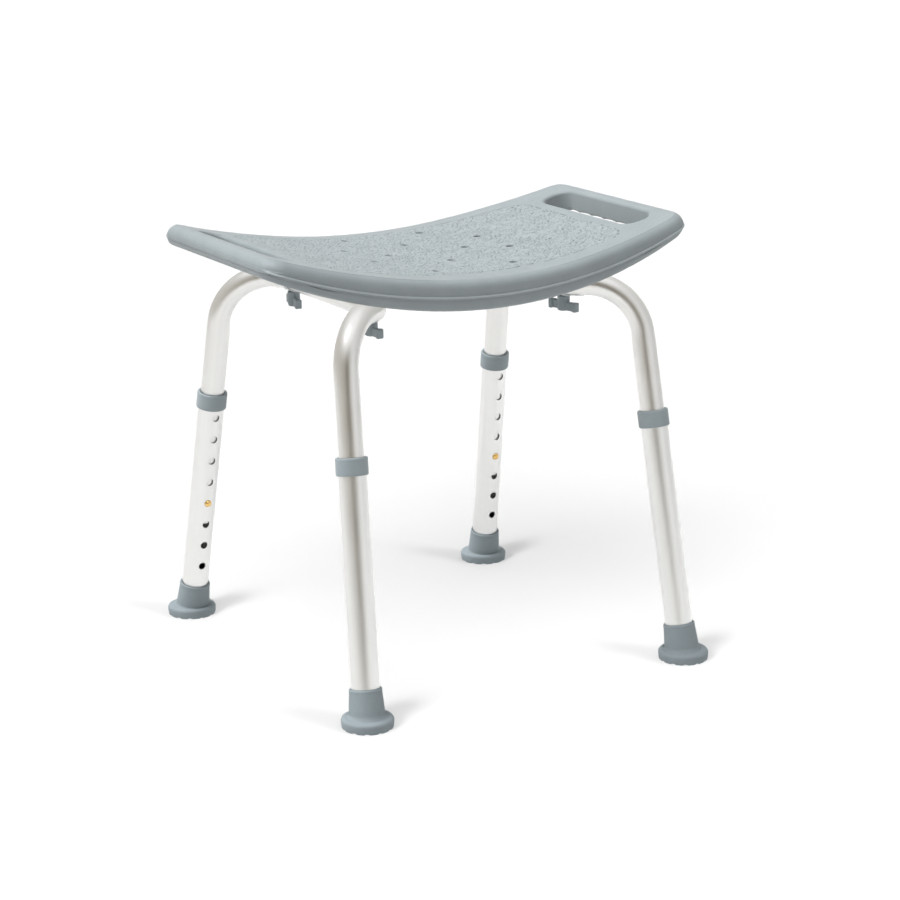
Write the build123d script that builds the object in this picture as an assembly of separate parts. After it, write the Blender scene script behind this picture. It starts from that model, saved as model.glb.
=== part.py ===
from build123d import *
import os
from math import sqrt, pi, cos, sin, tan, radians, degrees, atan2

# Shower stool: a hollow blow-moulded seat on two bent aluminium leg frames,
# with four telescoping lower legs on angled rubber feet.
# Millimetres. Origin on the floor at the centre of the footprint,
# +X along the seat's long side, +Y to the back, +Z up.

os.makedirs("parts", exist_ok=True)

# ---------------------------------------------------------------- dimensions
# seat
SEAT_L = 499.0            # end to end
SEAT_W_MID = 302.0        # width at the middle
SEAT_W_END = 246.0        # width at the ends
SEAT_CORNER_R = 26.0      # plan radius of the four corners
TOP_Z_MID = 423.6         # top skin at the middle
TOP_RISE = 39.8           # rise of the top skin from the middle to the ends
BOT_Z_MID = 390.2         # bottom skin at the middle
BOT_RISE = 51.0           # rise of the bottom skin from the middle to the ends
SEAM_Z_MID = 404.4        # moulding seam at the middle
SEAM_RISE = 44.4
SEAM_PROUD = 0.9          # how far the seam bead stands out
SEAM_T = 2.2              # height of the seam bead
TOP_ROLL_R = 11.0         # radius of the rolled top edge
BOT_ROLL_R = 8.5          # radius of the rolled bottom edge
WALL = 3.0                # blow-moulded wall
SLOT_X = 211.0            # hand-hold slot centre
SLOT_W = 34.0
SLOT_L = 180.0
SLOT_R = 15.0
DRAIN_R = 4.2             # drain hole radius
DRAIN_SINK_R = 5.8        # countersink radius at the top skin
DRAIN_WALL = 2.6
DRAINS = [(0, 49), (0, -49), (46, 0), (-46, 0),
          (46, 97), (46, -97), (-46, 97), (-46, -97),
          (81, 33), (81, -33), (-81, 33), (-81, -33)]
VENT_R = 2.5              # blow-pin vent in the bottom skin
FINGERS = 7               # finger grooves under each grip
FINGER_PITCH = 24.0
FINGER_R = 28.6
FINGER_DEPTH = 2.2

# leg frames, one inch tube
TUBE_R = 12.7
TUBE_IN_R = 11.3
FOOT_X = 190.9            # leg axis at floor level
FOOT_Y = 204.7
LEAN_X = 0.0444           # inward lean per unit of height
LEAN_Y = 0.178
FRAME_TOP_Z = 394.0       # tube centre under the seat
FRAME_TOP_X = 115.0       # straight run under the seat
KNEE_Z = 396.0            # where the leg axis meets the top run
ELBOW_Y = 98.0            # plan corner of the top run
KNEE_R = 60.0             # centre-line radius, leg to top run
ELBOW_R = 24.0            # centre-line radius in plan
FRAME_END_T = 115.5       # lower end of the frame tube, along the leg axis

# lower legs, 1-1/8 inch tube; distances t run along the leg axis from the floor
LEG_R = 14.3
LEG_IN_R = 12.9
LEG_T0 = 10.5
LEG_T1 = 263.2
HOLE_R = 4.0
HOLE_PITCH = 25.4
HOLE_TOP_T = 241.9
HOLES = 8
BUTTON_HOLE = 4           # the button stands in the fifth hole from the top

# collar at the top of each lower leg
COLLAR_R = 16.3
COLLAR_T0 = 250.2
COLLAR_T1 = 268.0
COLLAR_BORE = 12.78

# rubber feet
SOLE_R = 26.5
SOLE_H = 11.0
SOCKET_R0 = 18.4
SOCKET_R1 = 16.4
SOCKET_T = 38.5
FOOT_PLATE_T0 = 9.0
FOOT_PLATE_R = 14.2

# snap button and its leaf spring
BUTTON_R = 3.92
BUTTON_OUT = 16.8         # crown, from the leg axis
BUTTON_DOME = 2.9
LEAF_OUT = 10.3           # outer face of the leaf, from the leg axis
LEAF_T = 0.8
LEAF_W = 8.6

# wing knobs
KNOB_X = 115.0
KNOB_Y = 85.0
STUD_R = 3.0
STUD_TOP_Z = 418.0
STUD_BOT_Z = 368.0
KNOB_TOP_Z = 379.85
KNOB_BOT_Z = 364.0
HUB_R = 6.6
WING_L = 20.0             # tip, from the stud axis
WING_T = 3.8              # web of each wing
WING_H = 9.8
WING_LIFT = 0.2           # wings' underside above the hub's
GRIP_L = 5.4              # block at each wing's tip
GRIP_W = 7.2
WING_SKEW = 1.5           # each wing's offset across the stud axis
SADDLE_GAP = 0.15
SADDLE_T = 1.2
SADDLE_WRAP = 52.0        # half angle round the tube, degrees
SADDLE_LEN = 17.0
INSERT_R = 5.0
INSERT_BORE = 3.05
INSERT_Z0 = 407.1
INSERT_Z1 = 419.1


def arc_radius(span, rise):
    return (span * span + rise * rise) / (2 * rise)


HALF_L = SEAT_L / 2
R_TOP = arc_radius(HALF_L, TOP_RISE)
R_BOT = arc_radius(HALF_L, BOT_RISE)
R_SEAM = arc_radius(HALF_L, SEAM_RISE)


# ---------------------------------------------------------------- seat
def plan_face(grow):
    """Seat outline in plan, grown outward by grow."""
    hl = HALF_L + grow
    we = SEAT_W_END / 2
    wm = SEAT_W_MID / 2
    r = arc_radius(HALF_L, wm - we) + grow
    cy = wm + grow - r                     # centre of the long side's arc
    ye = cy + sqrt(r * r - hl * hl)
    e = (Edge.make_three_point_arc(Vector(-hl, ye), Vector(0, wm + grow), Vector(hl, ye)),
         Edge.make_line(Vector(hl, ye), Vector(hl, -ye)),
         Edge.make_three_point_arc(Vector(hl, -ye), Vector(0, -wm - grow), Vector(-hl, -ye)),
         Edge.make_line(Vector(-hl, -ye), Vector(-hl, ye)))
    f = Face(Wire(list(e)))
    return fillet(f.vertices(), SEAT_CORNER_R + grow)


def band(r_top, z_top, r_bot, z_bot, half=175.0, reach=262.0):
    """Solid between two arcs whose axes run along Y. z_top, z_bot: at x = 0."""
    zt = z_top + r_top - sqrt(r_top * r_top - reach * reach)
    zb = z_bot + r_bot - sqrt(r_bot * r_bot - reach * reach)

    def p(x, z):
        return Vector(x, -half, z)

    e = [Edge.make_three_point_arc(p(-reach, zb), p(0, z_bot), p(reach, zb)),
         Edge.make_line(p(reach, zb), p(reach, zt)),
         Edge.make_three_point_arc(p(reach, zt), p(0, z_top), p(-reach, zt)),
         Edge.make_line(p(-reach, zt), p(-reach, zb))]
    return extrude(Face(Wire(e)), amount=2 * half, dir=(0, 1, 0))


def slab(grow, z0=370.0, z1=480.0):
    return extrude(Pos(0, 0, z0) * plan_face(grow), amount=z1 - z0, dir=(0, 0, 1))


def skins(solid, radii):
    """Edges round the two curved skins of a solid."""
    out = []
    for f in solid.faces():
        if f.geom_type == GeomType.CYLINDER and any(abs(f.radius - r) < 1e-3 for r in radii):
            out += list(f.edges())
    return out


def top_z(x):
    return TOP_Z_MID + R_TOP - sqrt(R_TOP * R_TOP - x * x)


def bot_z(x):
    return BOT_Z_MID + R_BOT - sqrt(R_BOT * R_BOT - x * x)


def leg_point(sx, sy, z):
    return Vector(sx * (FOOT_X - LEAN_X * z), sy * (FOOT_Y - LEAN_Y * z), z)


AXIS_N = sqrt(1 + LEAN_X ** 2 + LEAN_Y ** 2)


def leg_plane(sx, sy):
    """Local frame of a leg: z up the leg axis from the floor, x facing inward along Y."""
    z = Vector(-sx * LEAN_X, -sy * LEAN_Y, 1).normalized()
    d = Vector(0, -sy, 0)
    x = (d - z * d.dot(z)).normalized()
    return Plane(origin=(sx * FOOT_X, sy * FOOT_Y, 0), x_dir=x, z_dir=z)


LEGS = {"back_left": (-1, 1), "front_left": (-1, -1), "front_right": (1, -1), "back_right": (1, 1)}


def frame_path(sx):
    z_end = FRAME_END_T / AXIS_N
    pts = [leg_point(sx, 1, z_end), leg_point(sx, 1, KNEE_Z),
           Vector(sx * FRAME_TOP_X, ELBOW_Y, FRAME_TOP_Z),
           Vector(sx * FRAME_TOP_X, -ELBOW_Y, FRAME_TOP_Z),
           leg_point(sx, -1, KNEE_Z), leg_point(sx, -1, z_end)]
    return FilletPolyline(*pts, radius=[KNEE_R, ELBOW_R, ELBOW_R, KNEE_R])


def swept(path, r):
    start = path @ 0
    return sweep(Plane(origin=start, z_dir=path % 0) * Circle(r), path=path)


paths = {-1: frame_path(-1), 1: frame_path(1)}
channel = [swept(paths[s], TUBE_R + 0.2) for s in (-1, 1)]
saddle_inner = {s: swept(paths[s], TUBE_R + SADDLE_GAP) for s in (-1, 1)}
saddle_outer = {s: swept(paths[s], TUBE_R + SADDLE_GAP + SADDLE_T) for s in (-1, 1)}
channel_wall = [swept(paths[s], TUBE_R + 0.2 + WALL) for s in (-1, 1)]


def slot_face(sx, grow):
    return Pos(sx * SLOT_X, 0) * RectangleRounded(SLOT_W + 2 * grow, SLOT_L + 2 * grow, SLOT_R + grow)


def fingers(r, more):
    """Cylinders for the finger grooves on the underside of both grips."""
    x0, x1 = SLOT_X + SLOT_W / 2 - 3.0 - more, HALF_L - 11.5 + more
    xm = (x0 + x1) / 2
    slope = atan2(xm, sqrt(R_BOT * R_BOT - xm * xm))
    down = FINGER_R - FINGER_DEPTH
    out = []
    for sx in (-1, 1):
        for i in range(FINGERS):
            y = (i - (FINGERS - 1) / 2) * FINGER_PITCH
            out.append(Pos(sx * (xm + down * sin(slope)), y, bot_z(xm) - down * cos(slope))
                       * Rot(0, 90 - sx * degrees(slope), 0) * Cylinder(r, (x1 - x0) / cos(slope)))
    return out


# one drain hole with its countersink, from the top skin down
drain = revolve(make_face(Plane.XZ * Polyline(
    (0, -60), (DRAIN_R, -60), (DRAIN_R, -(DRAIN_SINK_R - DRAIN_R)), (DRAIN_SINK_R + 3.0, 3.0),
    (0, 3.0), close=True)), axis=Axis.Z)

# outer skin
outer = slab(0) & band(R_TOP, TOP_Z_MID, R_BOT, BOT_Z_MID)
top_edges = skins(outer, [R_TOP])
outer = fillet(top_edges, TOP_ROLL_R)
bot_edges = skins(outer, [R_BOT])
outer = fillet(bot_edges, BOT_ROLL_R)

# seam bead all round
bead = slab(SEAM_PROUD) & band(R_SEAM - SEAM_T / 2, SEAM_Z_MID + SEAM_T / 2,
                               R_SEAM + SEAM_T / 2, SEAM_Z_MID - SEAM_T / 2)
bead = bead - slab(-2.0)
outer = outer + bead

# the hollow inside, less the walls that cross it
hollow = slab(-7.0) & band(R_TOP + WALL, TOP_Z_MID - WALL, R_BOT - WALL, BOT_Z_MID + WALL)
hollow = hollow - channel_wall[0] - channel_wall[1]
for sx in (-1, 1):
    hollow = hollow - extrude(Pos(0, 0, 370) * slot_face(sx, WALL), amount=110, dir=(0, 0, 1))
for g in fingers(FINGER_R + WALL, 3.0):
    hollow = hollow - g
for x, y in DRAINS:
    hollow = hollow - Pos(x, y, 420) * Cylinder(DRAIN_R + DRAIN_WALL, 100)
for sx in (-1, 1):
    for sy in (-1, 1):
        hollow = hollow - Pos(sx * KNOB_X, sy * KNOB_Y, 405) * Cylinder(
            INSERT_R + 4.0, 424.0 - 405.0, align=(Align.CENTER, Align.CENTER, Align.MIN))

# holes through the skins, then the hollow
for sx in (-1, 1):
    outer = outer - extrude(Pos(0, 0, 370) * slot_face(sx, 0), amount=110, dir=(0, 0, 1))
for x, y in DRAINS:
    outer = outer - Pos(x, y, top_z(x)) * Rot(0, 0, 37) * drain
outer = outer - channel[0] - channel[1]
for g in fingers(FINGER_R, 0.0):
    outer = outer - g
for sx in (-1, 1):
    for sy in (-1, 1):
        outer = outer - Pos(sx * KNOB_X, sy * KNOB_Y, 395) * Cylinder(
            INSERT_R, INSERT_Z1 - 395, align=(Align.CENTER, Align.CENTER, Align.MIN))
        outer = outer - Pos(sx * KNOB_X, sy * KNOB_Y, INSERT_Z1 - 5) * Cylinder(
            3.4, 7.9, align=(Align.CENTER, Align.CENTER, Align.MIN))
outer = outer - Pos(0, 0, 380) * Cylinder(VENT_R, 20, align=(Align.CENTER, Align.CENTER, Align.MIN))
seat = outer - hollow

nodes = {"seat_shell": seat}

# ---------------------------------------------------------------- leg frames
button_t = HOLE_TOP_T - BUTTON_HOLE * HOLE_PITCH
for sx, name in ((-1, "left_leg_frame"), (1, "right_leg_frame")):
    tube = swept(paths[sx], TUBE_R) - swept(paths[sx], TUBE_IN_R)
    for sy in (-1, 1):
        tube = tube - Pos(sx * KNOB_X, sy * KNOB_Y, FRAME_TOP_Z) * Cylinder(3.5, 60)
        pl = leg_plane(sx, sy)
        tube = tube - pl.location * Pos(0, 0, button_t) * Rot(0, 90, 0) * Cylinder(
            HOLE_R, 20, align=(Align.CENTER, Align.CENTER, Align.MIN))
    nodes[name] = tube


def disc(r, h, t):
    """Cylinder about the local leg axis, from t up by h."""
    return Pos(0, 0, t) * Cylinder(r, h, align=(Align.CENTER, Align.CENTER, Align.MIN))


for leg, (sx, sy) in LEGS.items():
    pl = leg_plane(sx, sy)
    loc = pl.location

    # lower leg tube with its row of holes down the inner side
    tube = disc(LEG_R, LEG_T1 - LEG_T0, LEG_T0) - disc(LEG_IN_R, LEG_T1 - LEG_T0, LEG_T0)
    for i in range(HOLES):
        tube = tube - Pos(0, 0, HOLE_TOP_T - i * HOLE_PITCH) * Rot(0, 90, 0) * Cylinder(
            HOLE_R, 20, align=(Align.CENTER, Align.CENTER, Align.MIN))
    nodes["lower_leg_" + leg] = loc * tube

    # plastic collar over the top of the lower leg
    collar = disc(COLLAR_R, COLLAR_T1 - COLLAR_T0, COLLAR_T0)
    rims = collar.edges().filter_by(GeomType.CIRCLE).sort_by(Axis.Z)
    collar = fillet(rims[-1], 1.8)
    collar = fillet(collar.edges().filter_by(GeomType.CIRCLE).sort_by(Axis.Z)[0], 0.8)
    collar = collar - disc(LEG_R, LEG_T1 - COLLAR_T0, COLLAR_T0) - disc(COLLAR_BORE, 30, COLLAR_T0 - 2)
    nodes["leg_collar_" + leg] = loc * collar

    # rubber foot: level sole, socket leaning with the leg
    sole = Pos(sx * FOOT_X, sy * FOOT_Y, 0) * Cylinder(SOLE_R, SOLE_H, align=(Align.CENTER, Align.CENTER, Align.MIN))
    rings = sole.edges().filter_by(GeomType.CIRCLE).sort_by(Axis.Z)
    sole = fillet(rings[-1], 3.2)
    sole = fillet(sole.edges().filter_by(GeomType.CIRCLE).sort_by(Axis.Z)[0], 1.0)
    t0 = 4.0
    slope = (SOCKET_R0 - SOCKET_R1) / (SOCKET_T - 11.0)
    socket = Pos(0, 0, t0) * Cone(SOCKET_R0 + slope * (11.0 - t0), SOCKET_R1, SOCKET_T - t0,
                                  align=(Align.CENTER, Align.CENTER, Align.MIN))
    socket = fillet(socket.edges().filter_by(GeomType.CIRCLE).sort_by(Axis.Z)[-1], 1.2)
    foot = sole + loc * socket
    foot = foot - loc * disc(LEG_R, 40, FOOT_PLATE_T0)
    for r0, r1 in ((9.0, 11.5), (15.5, 18.0)):
        groove = Cylinder(r1, 1.2, align=(Align.CENTER, Align.CENTER, Align.MIN)) - Cylinder(
            r0, 1.2, align=(Align.CENTER, Align.CENTER, Align.MIN))
        foot = foot - Pos(sx * FOOT_X, sy * FOOT_Y, 0) * groove
    nodes["rubber_foot_" + leg] = foot

    # steel plate in the bottom of the socket, under the tube's end
    nodes["foot_plate_" + leg] = loc * disc(FOOT_PLATE_R, LEG_T0 - FOOT_PLATE_T0, FOOT_PLATE_T0)

    # snap button with a domed crown, standing out along local +x
    button = Cylinder(BUTTON_R, BUTTON_OUT - LEAF_OUT, align=(Align.CENTER, Align.CENTER, Align.MIN))
    button = fillet(button.edges().filter_by(GeomType.CIRCLE).sort_by(Axis.Z)[-1], BUTTON_DOME)
    nodes["height_button_" + leg] = loc * (Pos(LEAF_OUT, 0, button_t) * Rot(0, 90, 0) * button)

    # leaf spring: two leaves and a round bend above them
    r_mid = LEAF_OUT - LEAF_T / 2
    knee_t = button_t + 7.0
    bend_r = 3.2
    bend_t = button_t + 33.0

    def leaf(side):
        flat = Pos(side * r_mid, 0, (button_t - 7.0 + knee_t) / 2) * Box(LEAF_T, LEAF_W, 14.0)
        dx = r_mid - bend_r
        dz = bend_t - knee_t
        ln = sqrt(dx * dx + dz * dz)
        ang = degrees(atan2(dx, dz))
        slant = Pos(side * (r_mid + bend_r) / 2, 0, (knee_t + bend_t) / 2) * Rot(0, -side * ang, 0) * Box(LEAF_T, LEAF_W, ln + 0.6)
        return flat + slant

    ring = Rot(90, 0, 0) * (Cylinder(bend_r + LEAF_T / 2, LEAF_W) - Cylinder(bend_r - LEAF_T / 2, LEAF_W))
    ring = Pos(0, 0, bend_t) * ring
    ring = ring & Pos(0, 0, bend_t - 0.6) * Box(20, 20, 20, align=(Align.CENTER, Align.CENTER, Align.MIN))
    nodes["button_spring_" + leg] = loc * (leaf(1) + leaf(-1) + ring)

    # wing knob under the frame, its stud, saddle washer and the insert in the seat
    kx, ky = sx * KNOB_X, sy * KNOB_Y
    turn = {"back_left": 80.0, "front_left": 92.0, "front_right": 104.0, "back_right": 60.0}[leg]
    hub = Pos(0, 0, KNOB_BOT_Z) * Cylinder(HUB_R, KNOB_TOP_Z - KNOB_BOT_Z, align=(Align.CENTER, Align.CENTER, Align.MIN))
    wings = None
    for s in (-1, 1):
        web = Pos(s * (WING_L - 3) / 2, -s * WING_SKEW, KNOB_BOT_Z + WING_LIFT) * Box(
            WING_L - 3, WING_T, WING_H, align=(Align.CENTER, Align.CENTER, Align.MIN))
        grip = extrude(Pos(s * (WING_L - GRIP_L / 2), -s * (WING_SKEW - 0.6), KNOB_BOT_Z + WING_LIFT)
                       * RectangleRounded(GRIP_L, GRIP_W, 2.4), amount=WING_H, dir=(0, 0, 1))
        w = web + grip
        wings = w if wings is None else wings + w
    head = hub + wings
    bore = Pos(0, 0, STUD_BOT_Z) * Cylinder(STUD_R, 20, align=(Align.CENTER, Align.CENTER, Align.MIN))
    head = head - bore
    nodes["knob_head_" + leg] = Pos(kx, ky, 0) * Rot(0, 0, turn) * head

    stud = Cylinder(STUD_R, STUD_TOP_Z - STUD_BOT_Z, align=(Align.CENTER, Align.CENTER, Align.MIN))
    stud = chamfer(stud.edges().filter_by(GeomType.CIRCLE).sort_by(Axis.Z)[-1], 0.8)
    nodes["knob_stud_" + leg] = Pos(kx, ky, STUD_BOT_Z) * stud

    r0 = TUBE_R + SADDLE_GAP
    r1 = r0 + SADDLE_T
    half_w = r1 * sin(radians(SADDLE_WRAP))
    keep = Pos(kx, ky, FRAME_TOP_Z - 20) * extrude(
        RectangleRounded(2 * half_w, SADDLE_LEN, 7.0), amount=20, dir=(0, 0, 1))
    keep = keep - Pos(kx, ky, FRAME_TOP_Z - 30) * Cylinder(3.3, 60)
    nodes["knob_washer_" + leg] = (saddle_outer[sx] & keep) - saddle_inner[sx]

    insert = Cylinder(INSERT_R, INSERT_Z1 - INSERT_Z0, align=(Align.CENTER, Align.CENTER, Align.MIN))
    insert = insert - Cylinder(INSERT_BORE, 40)
    nodes["seat_insert_" + leg] = Pos(kx, ky, INSERT_Z0) * insert

for name, shape in nodes.items():
    solids = shape.solids()
    body = solids[0] if len(solids) == 1 else Compound(children=list(solids))
    body.label = name
    export_step(body, os.path.join("parts", name + ".step"))
    print(name, len(solids), round(shape.volume, 1), shape.is_valid)
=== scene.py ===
import bmesh
import bpy
import math
import numpy as np
from mathutils import Matrix, Vector, geometry, kdtree


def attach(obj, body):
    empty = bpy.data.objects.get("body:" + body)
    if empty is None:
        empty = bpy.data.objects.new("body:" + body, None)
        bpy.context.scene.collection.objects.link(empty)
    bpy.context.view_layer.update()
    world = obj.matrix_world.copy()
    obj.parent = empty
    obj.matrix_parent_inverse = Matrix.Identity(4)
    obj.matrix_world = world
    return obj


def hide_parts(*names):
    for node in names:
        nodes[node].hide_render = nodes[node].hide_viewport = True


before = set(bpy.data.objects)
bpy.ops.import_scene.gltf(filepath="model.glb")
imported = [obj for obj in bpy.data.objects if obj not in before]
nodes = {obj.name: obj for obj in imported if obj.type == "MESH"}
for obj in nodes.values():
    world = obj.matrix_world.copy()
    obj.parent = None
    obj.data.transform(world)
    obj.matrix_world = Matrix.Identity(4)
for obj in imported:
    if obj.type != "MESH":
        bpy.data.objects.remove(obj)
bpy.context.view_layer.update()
scene = bpy.context.scene


# ------------------------------------------------------------------ mesh helpers (millimetres in, metres out)
def build_mesh(name, co, quads=None, tris=None, sharp_deg=None, uv=None, wrap=0.0, values=None):
    """uv: per vertex, in millimetres; a face across the seam at u = wrap is unwrapped. values: {name: per vertex}."""
    co = np.asarray(co, float)
    quads = np.zeros((0, 4), np.int32) if quads is None or len(quads) == 0 else np.asarray(quads, np.int32)
    tris = np.zeros((0, 3), np.int32) if tris is None or len(tris) == 0 else np.asarray(tris, np.int32)
    me = bpy.data.meshes.new(name)
    me.vertices.add(len(co))
    me.vertices.foreach_set("co", (co * 0.001).astype(np.float32).ravel())
    nq, nt = len(quads), len(tris)
    loops = np.concatenate([quads.ravel(), tris.ravel()]).astype(np.int32)
    me.loops.add(len(loops))
    me.loops.foreach_set("vertex_index", loops)
    me.polygons.add(nq + nt)
    starts = np.concatenate([np.arange(nq) * 4, nq * 4 + np.arange(nt) * 3]).astype(np.int32)
    me.polygons.foreach_set("loop_start", starts)
    me.polygons.foreach_set("use_smooth", np.ones(nq + nt, bool))
    if uv is not None:
        uv = np.asarray(uv, float)
        parts = []
        for f in (quads, tris):
            t = uv[f].copy()
            if wrap and len(f):
                split = (t[..., 0].max(1) - t[..., 0].min(1)) > wrap / 2
                low = t[..., 0] < wrap / 2
                t[..., 0] += np.where(split[:, None] & low, wrap, 0)
            parts.append(t.reshape(-1, 2))
        layer = me.uv_layers.new(name="mm")
        layer.data.foreach_set("uv", (np.concatenate(parts) * 0.001).astype(np.float32).ravel())
    for key, val in (values or {}).items():
        at = me.attributes.new(key, "FLOAT", "POINT")
        at.data.foreach_set("value", np.asarray(val, np.float32))
    me.update(calc_edges=True)
    me.validate(verbose=False)
    if sharp_deg is not None:
        me.set_sharp_from_angle(angle=math.radians(sharp_deg))
    ob = bpy.data.objects.new(name, me)
    bpy.context.scene.collection.objects.link(ob)
    return ob


def strip(a, b, closed=True):
    """Quads between two rings of vertex indices of equal length."""
    n = len(a)
    i = np.arange(n if closed else n - 1)
    j = (i + 1) % n
    a, b = np.asarray(a), np.asarray(b)
    return np.stack([a[i], a[j], b[j], b[i]], 1)


def scan_inside(loops, xs, ys):
    """Even-odd test of the grid points xs by ys against closed loops."""
    out = np.zeros((len(ys), len(xs)), bool)
    for lp in loops:
        x0, y0 = lp[:, 0], lp[:, 1]
        x1, y1 = np.roll(x0, -1), np.roll(y0, -1)
        for j, y in enumerate(ys):
            hit = (y0 <= y) != (y1 <= y)
            if hit.any():
                xc = np.sort(x0[hit] + (y - y0[hit]) * (x1[hit] - x0[hit]) / (y1[hit] - y0[hit]))
                out[j] ^= (np.searchsorted(xc, xs) % 2).astype(bool)
    return out


def points_inside(loops, pts):
    out = np.zeros(len(pts), bool)
    for lp in loops:
        x0, y0 = lp[:, 0], lp[:, 1]
        x1, y1 = np.roll(x0, -1), np.roll(y0, -1)
        for k in range(0, len(pts), 2000):
            p = pts[k:k + 2000]
            hit = (y0[None] <= p[:, 1:2]) != (y1[None] <= p[:, 1:2])
            with np.errstate(divide="ignore", invalid="ignore"):
                xc = x0[None] + (p[:, 1:2] - y0[None]) * (x1 - x0)[None] / (y1 - y0)[None]
            out[k:k + 2000] ^= (np.count_nonzero(hit & (xc < p[:, 0:1]), axis=1) % 2).astype(bool)
    return out


def fill_region(loops, pitch):
    """A grid of squares inside the closed loops, stitched to them by triangles.
    Returns points (the loops' own first, in order), quads and tris."""
    allp = np.concatenate(loops)
    tree = kdtree.KDTree(len(allp))
    for i, p in enumerate(allp):
        tree.insert((p[0], p[1], 0.0), i)
    tree.balance()
    lo, hi = allp.min(0), allp.max(0)
    nx, ny = int((hi[0] - lo[0]) / pitch) + 2, int((hi[1] - lo[1]) / pitch) + 2
    xs = (np.arange(nx) - (nx - 1) / 2) * pitch + (lo[0] + hi[0]) / 2
    ys = (np.arange(ny) - (ny - 1) / 2) * pitch + (lo[1] + hi[1]) / 2
    ok = scan_inside(loops, xs, ys)
    for j, i in zip(*np.nonzero(ok)):
        if tree.find((xs[i], ys[j], 0.0))[2] < 0.75 * pitch:
            ok[j, i] = False
    cell = ok[:-1, :-1] & ok[1:, :-1] & ok[:-1, 1:] & ok[1:, 1:]
    # a cell that a loop crosses without touching its corners can't be kept
    used = np.zeros_like(ok)
    used[:-1, :-1] |= cell
    used[1:, :-1] |= cell
    used[:-1, 1:] |= cell
    used[1:, 1:] |= cell
    index = np.full(ok.shape, -1)
    index[used] = np.arange(np.count_nonzero(used)) + len(allp)
    jj, ii = np.nonzero(used)
    grid_pts = np.stack([xs[ii], ys[jj]], 1)
    cj, ci = np.nonzero(cell)
    quads = np.stack([index[cj, ci], index[cj, ci + 1], index[cj + 1, ci + 1], index[cj + 1, ci]], 1)
    # outline of the squares
    e = np.concatenate([quads[:, [0, 1]], quads[:, [1, 2]], quads[:, [2, 3]], quads[:, [3, 0]]])
    es = np.sort(e, 1)
    uniq, cnt = np.unique(es, axis=0, return_counts=True)
    rim = uniq[cnt == 1]
    pts = np.concatenate([allp, grid_pts])
    edges, base = [], 0
    for lp in loops:
        n = len(lp)
        i = np.arange(n)
        edges.append(np.stack([base + i, base + (i + 1) % n], 1))
        base += n
    edges.append(rim)
    edges = np.concatenate(edges)
    keep = np.unique(edges)
    local = {int(k): n for n, k in enumerate(keep)}
    vin = [Vector((pts[k, 0], pts[k, 1])) for k in keep]
    ein = [(local[int(a)], local[int(b)]) for a, b in edges]
    vo, eo, fo, ov, oe, of_ = geometry.delaunay_2d_cdt(vin, ein, [], 0, 1e-6)
    back = np.array([keep[o[0]] if o else -1 for o in ov])
    tri = np.array([f for f in fo if len(f) == 3])
    tri = back[tri]
    tri = tri[(tri >= 0).all(1)]
    cen = pts[tri].mean(1)
    ins = points_inside(loops, cen)
    gi = np.floor((cen[:, 0] - xs[0]) / pitch).astype(int)
    gj = np.floor((cen[:, 1] - ys[0]) / pitch).astype(int)
    inb = (gi >= 0) & (gj >= 0) & (gi < nx - 1) & (gj < ny - 1)
    cellhit = np.zeros(len(cen), bool)
    cellhit[inb] = cell[gj[inb], gi[inb]]
    tri = tri[ins & ~cellhit]
    a, b, c = pts[tri[:, 0]], pts[tri[:, 1]], pts[tri[:, 2]]
    area = (b[:, 0] - a[:, 0]) * (c[:, 1] - a[:, 1]) - (b[:, 1] - a[:, 1]) * (c[:, 0] - a[:, 0])
    tri[area < 0] = tri[area < 0][:, ::-1]
    return pts, quads, tri


# ------------------------------------------------------------------ seat numbers (as in the CAD)
HL, WM, WE, CR = 249.5, 151.0, 123.0, 26.0
TOP_MID, BOT_MID, SEAM_MID = 423.6, 389.6, 404.4


def radius(span, rise):
    return (span * span + rise * rise) / (2 * rise)


R_TOP, R_BOT, R_SEAM = radius(HL, 39.8), radius(HL, 51.6), radius(HL, 44.4)
ZC_TOP, ZC_BOT, ZC_SEAM = TOP_MID + R_TOP, BOT_MID + R_BOT, SEAM_MID + R_SEAM
R_SIDE = radius(HL, WM - WE)
YC_SIDE = WM - R_SIDE
CORNER_X = HL - CR
CORNER_Y = YC_SIDE + math.sqrt((R_SIDE - CR) ** 2 - CORNER_X ** 2)


def z_top(x):
    return ZC_TOP - np.sqrt(R_TOP ** 2 - x * x)


def z_bot(x):
    return ZC_BOT - np.sqrt(R_BOT ** 2 - x * x)


def z_seam(x):
    return ZC_SEAM - np.sqrt(R_SEAM ** 2 - x * x)


def arc_pts(cx, cy, r, a0, a1, step):
    n = max(2, int(abs(a1 - a0) * r / step))
    t = a0 + (a1 - a0) * np.arange(n) / n
    return np.stack([cx + r * np.cos(t), cy + r * np.sin(t)], 1), np.stack([np.cos(t), np.sin(t)], 1)


def line_pts(p0, p1, normal, step):
    p0, p1 = np.array(p0, float), np.array(p1, float)
    n = max(1, int(np.linalg.norm(p1 - p0) / step))
    t = (np.arange(n) / n)[:, None]
    return p0 + (p1 - p0) * t, np.repeat(np.array([normal], float), n, 0)


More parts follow.
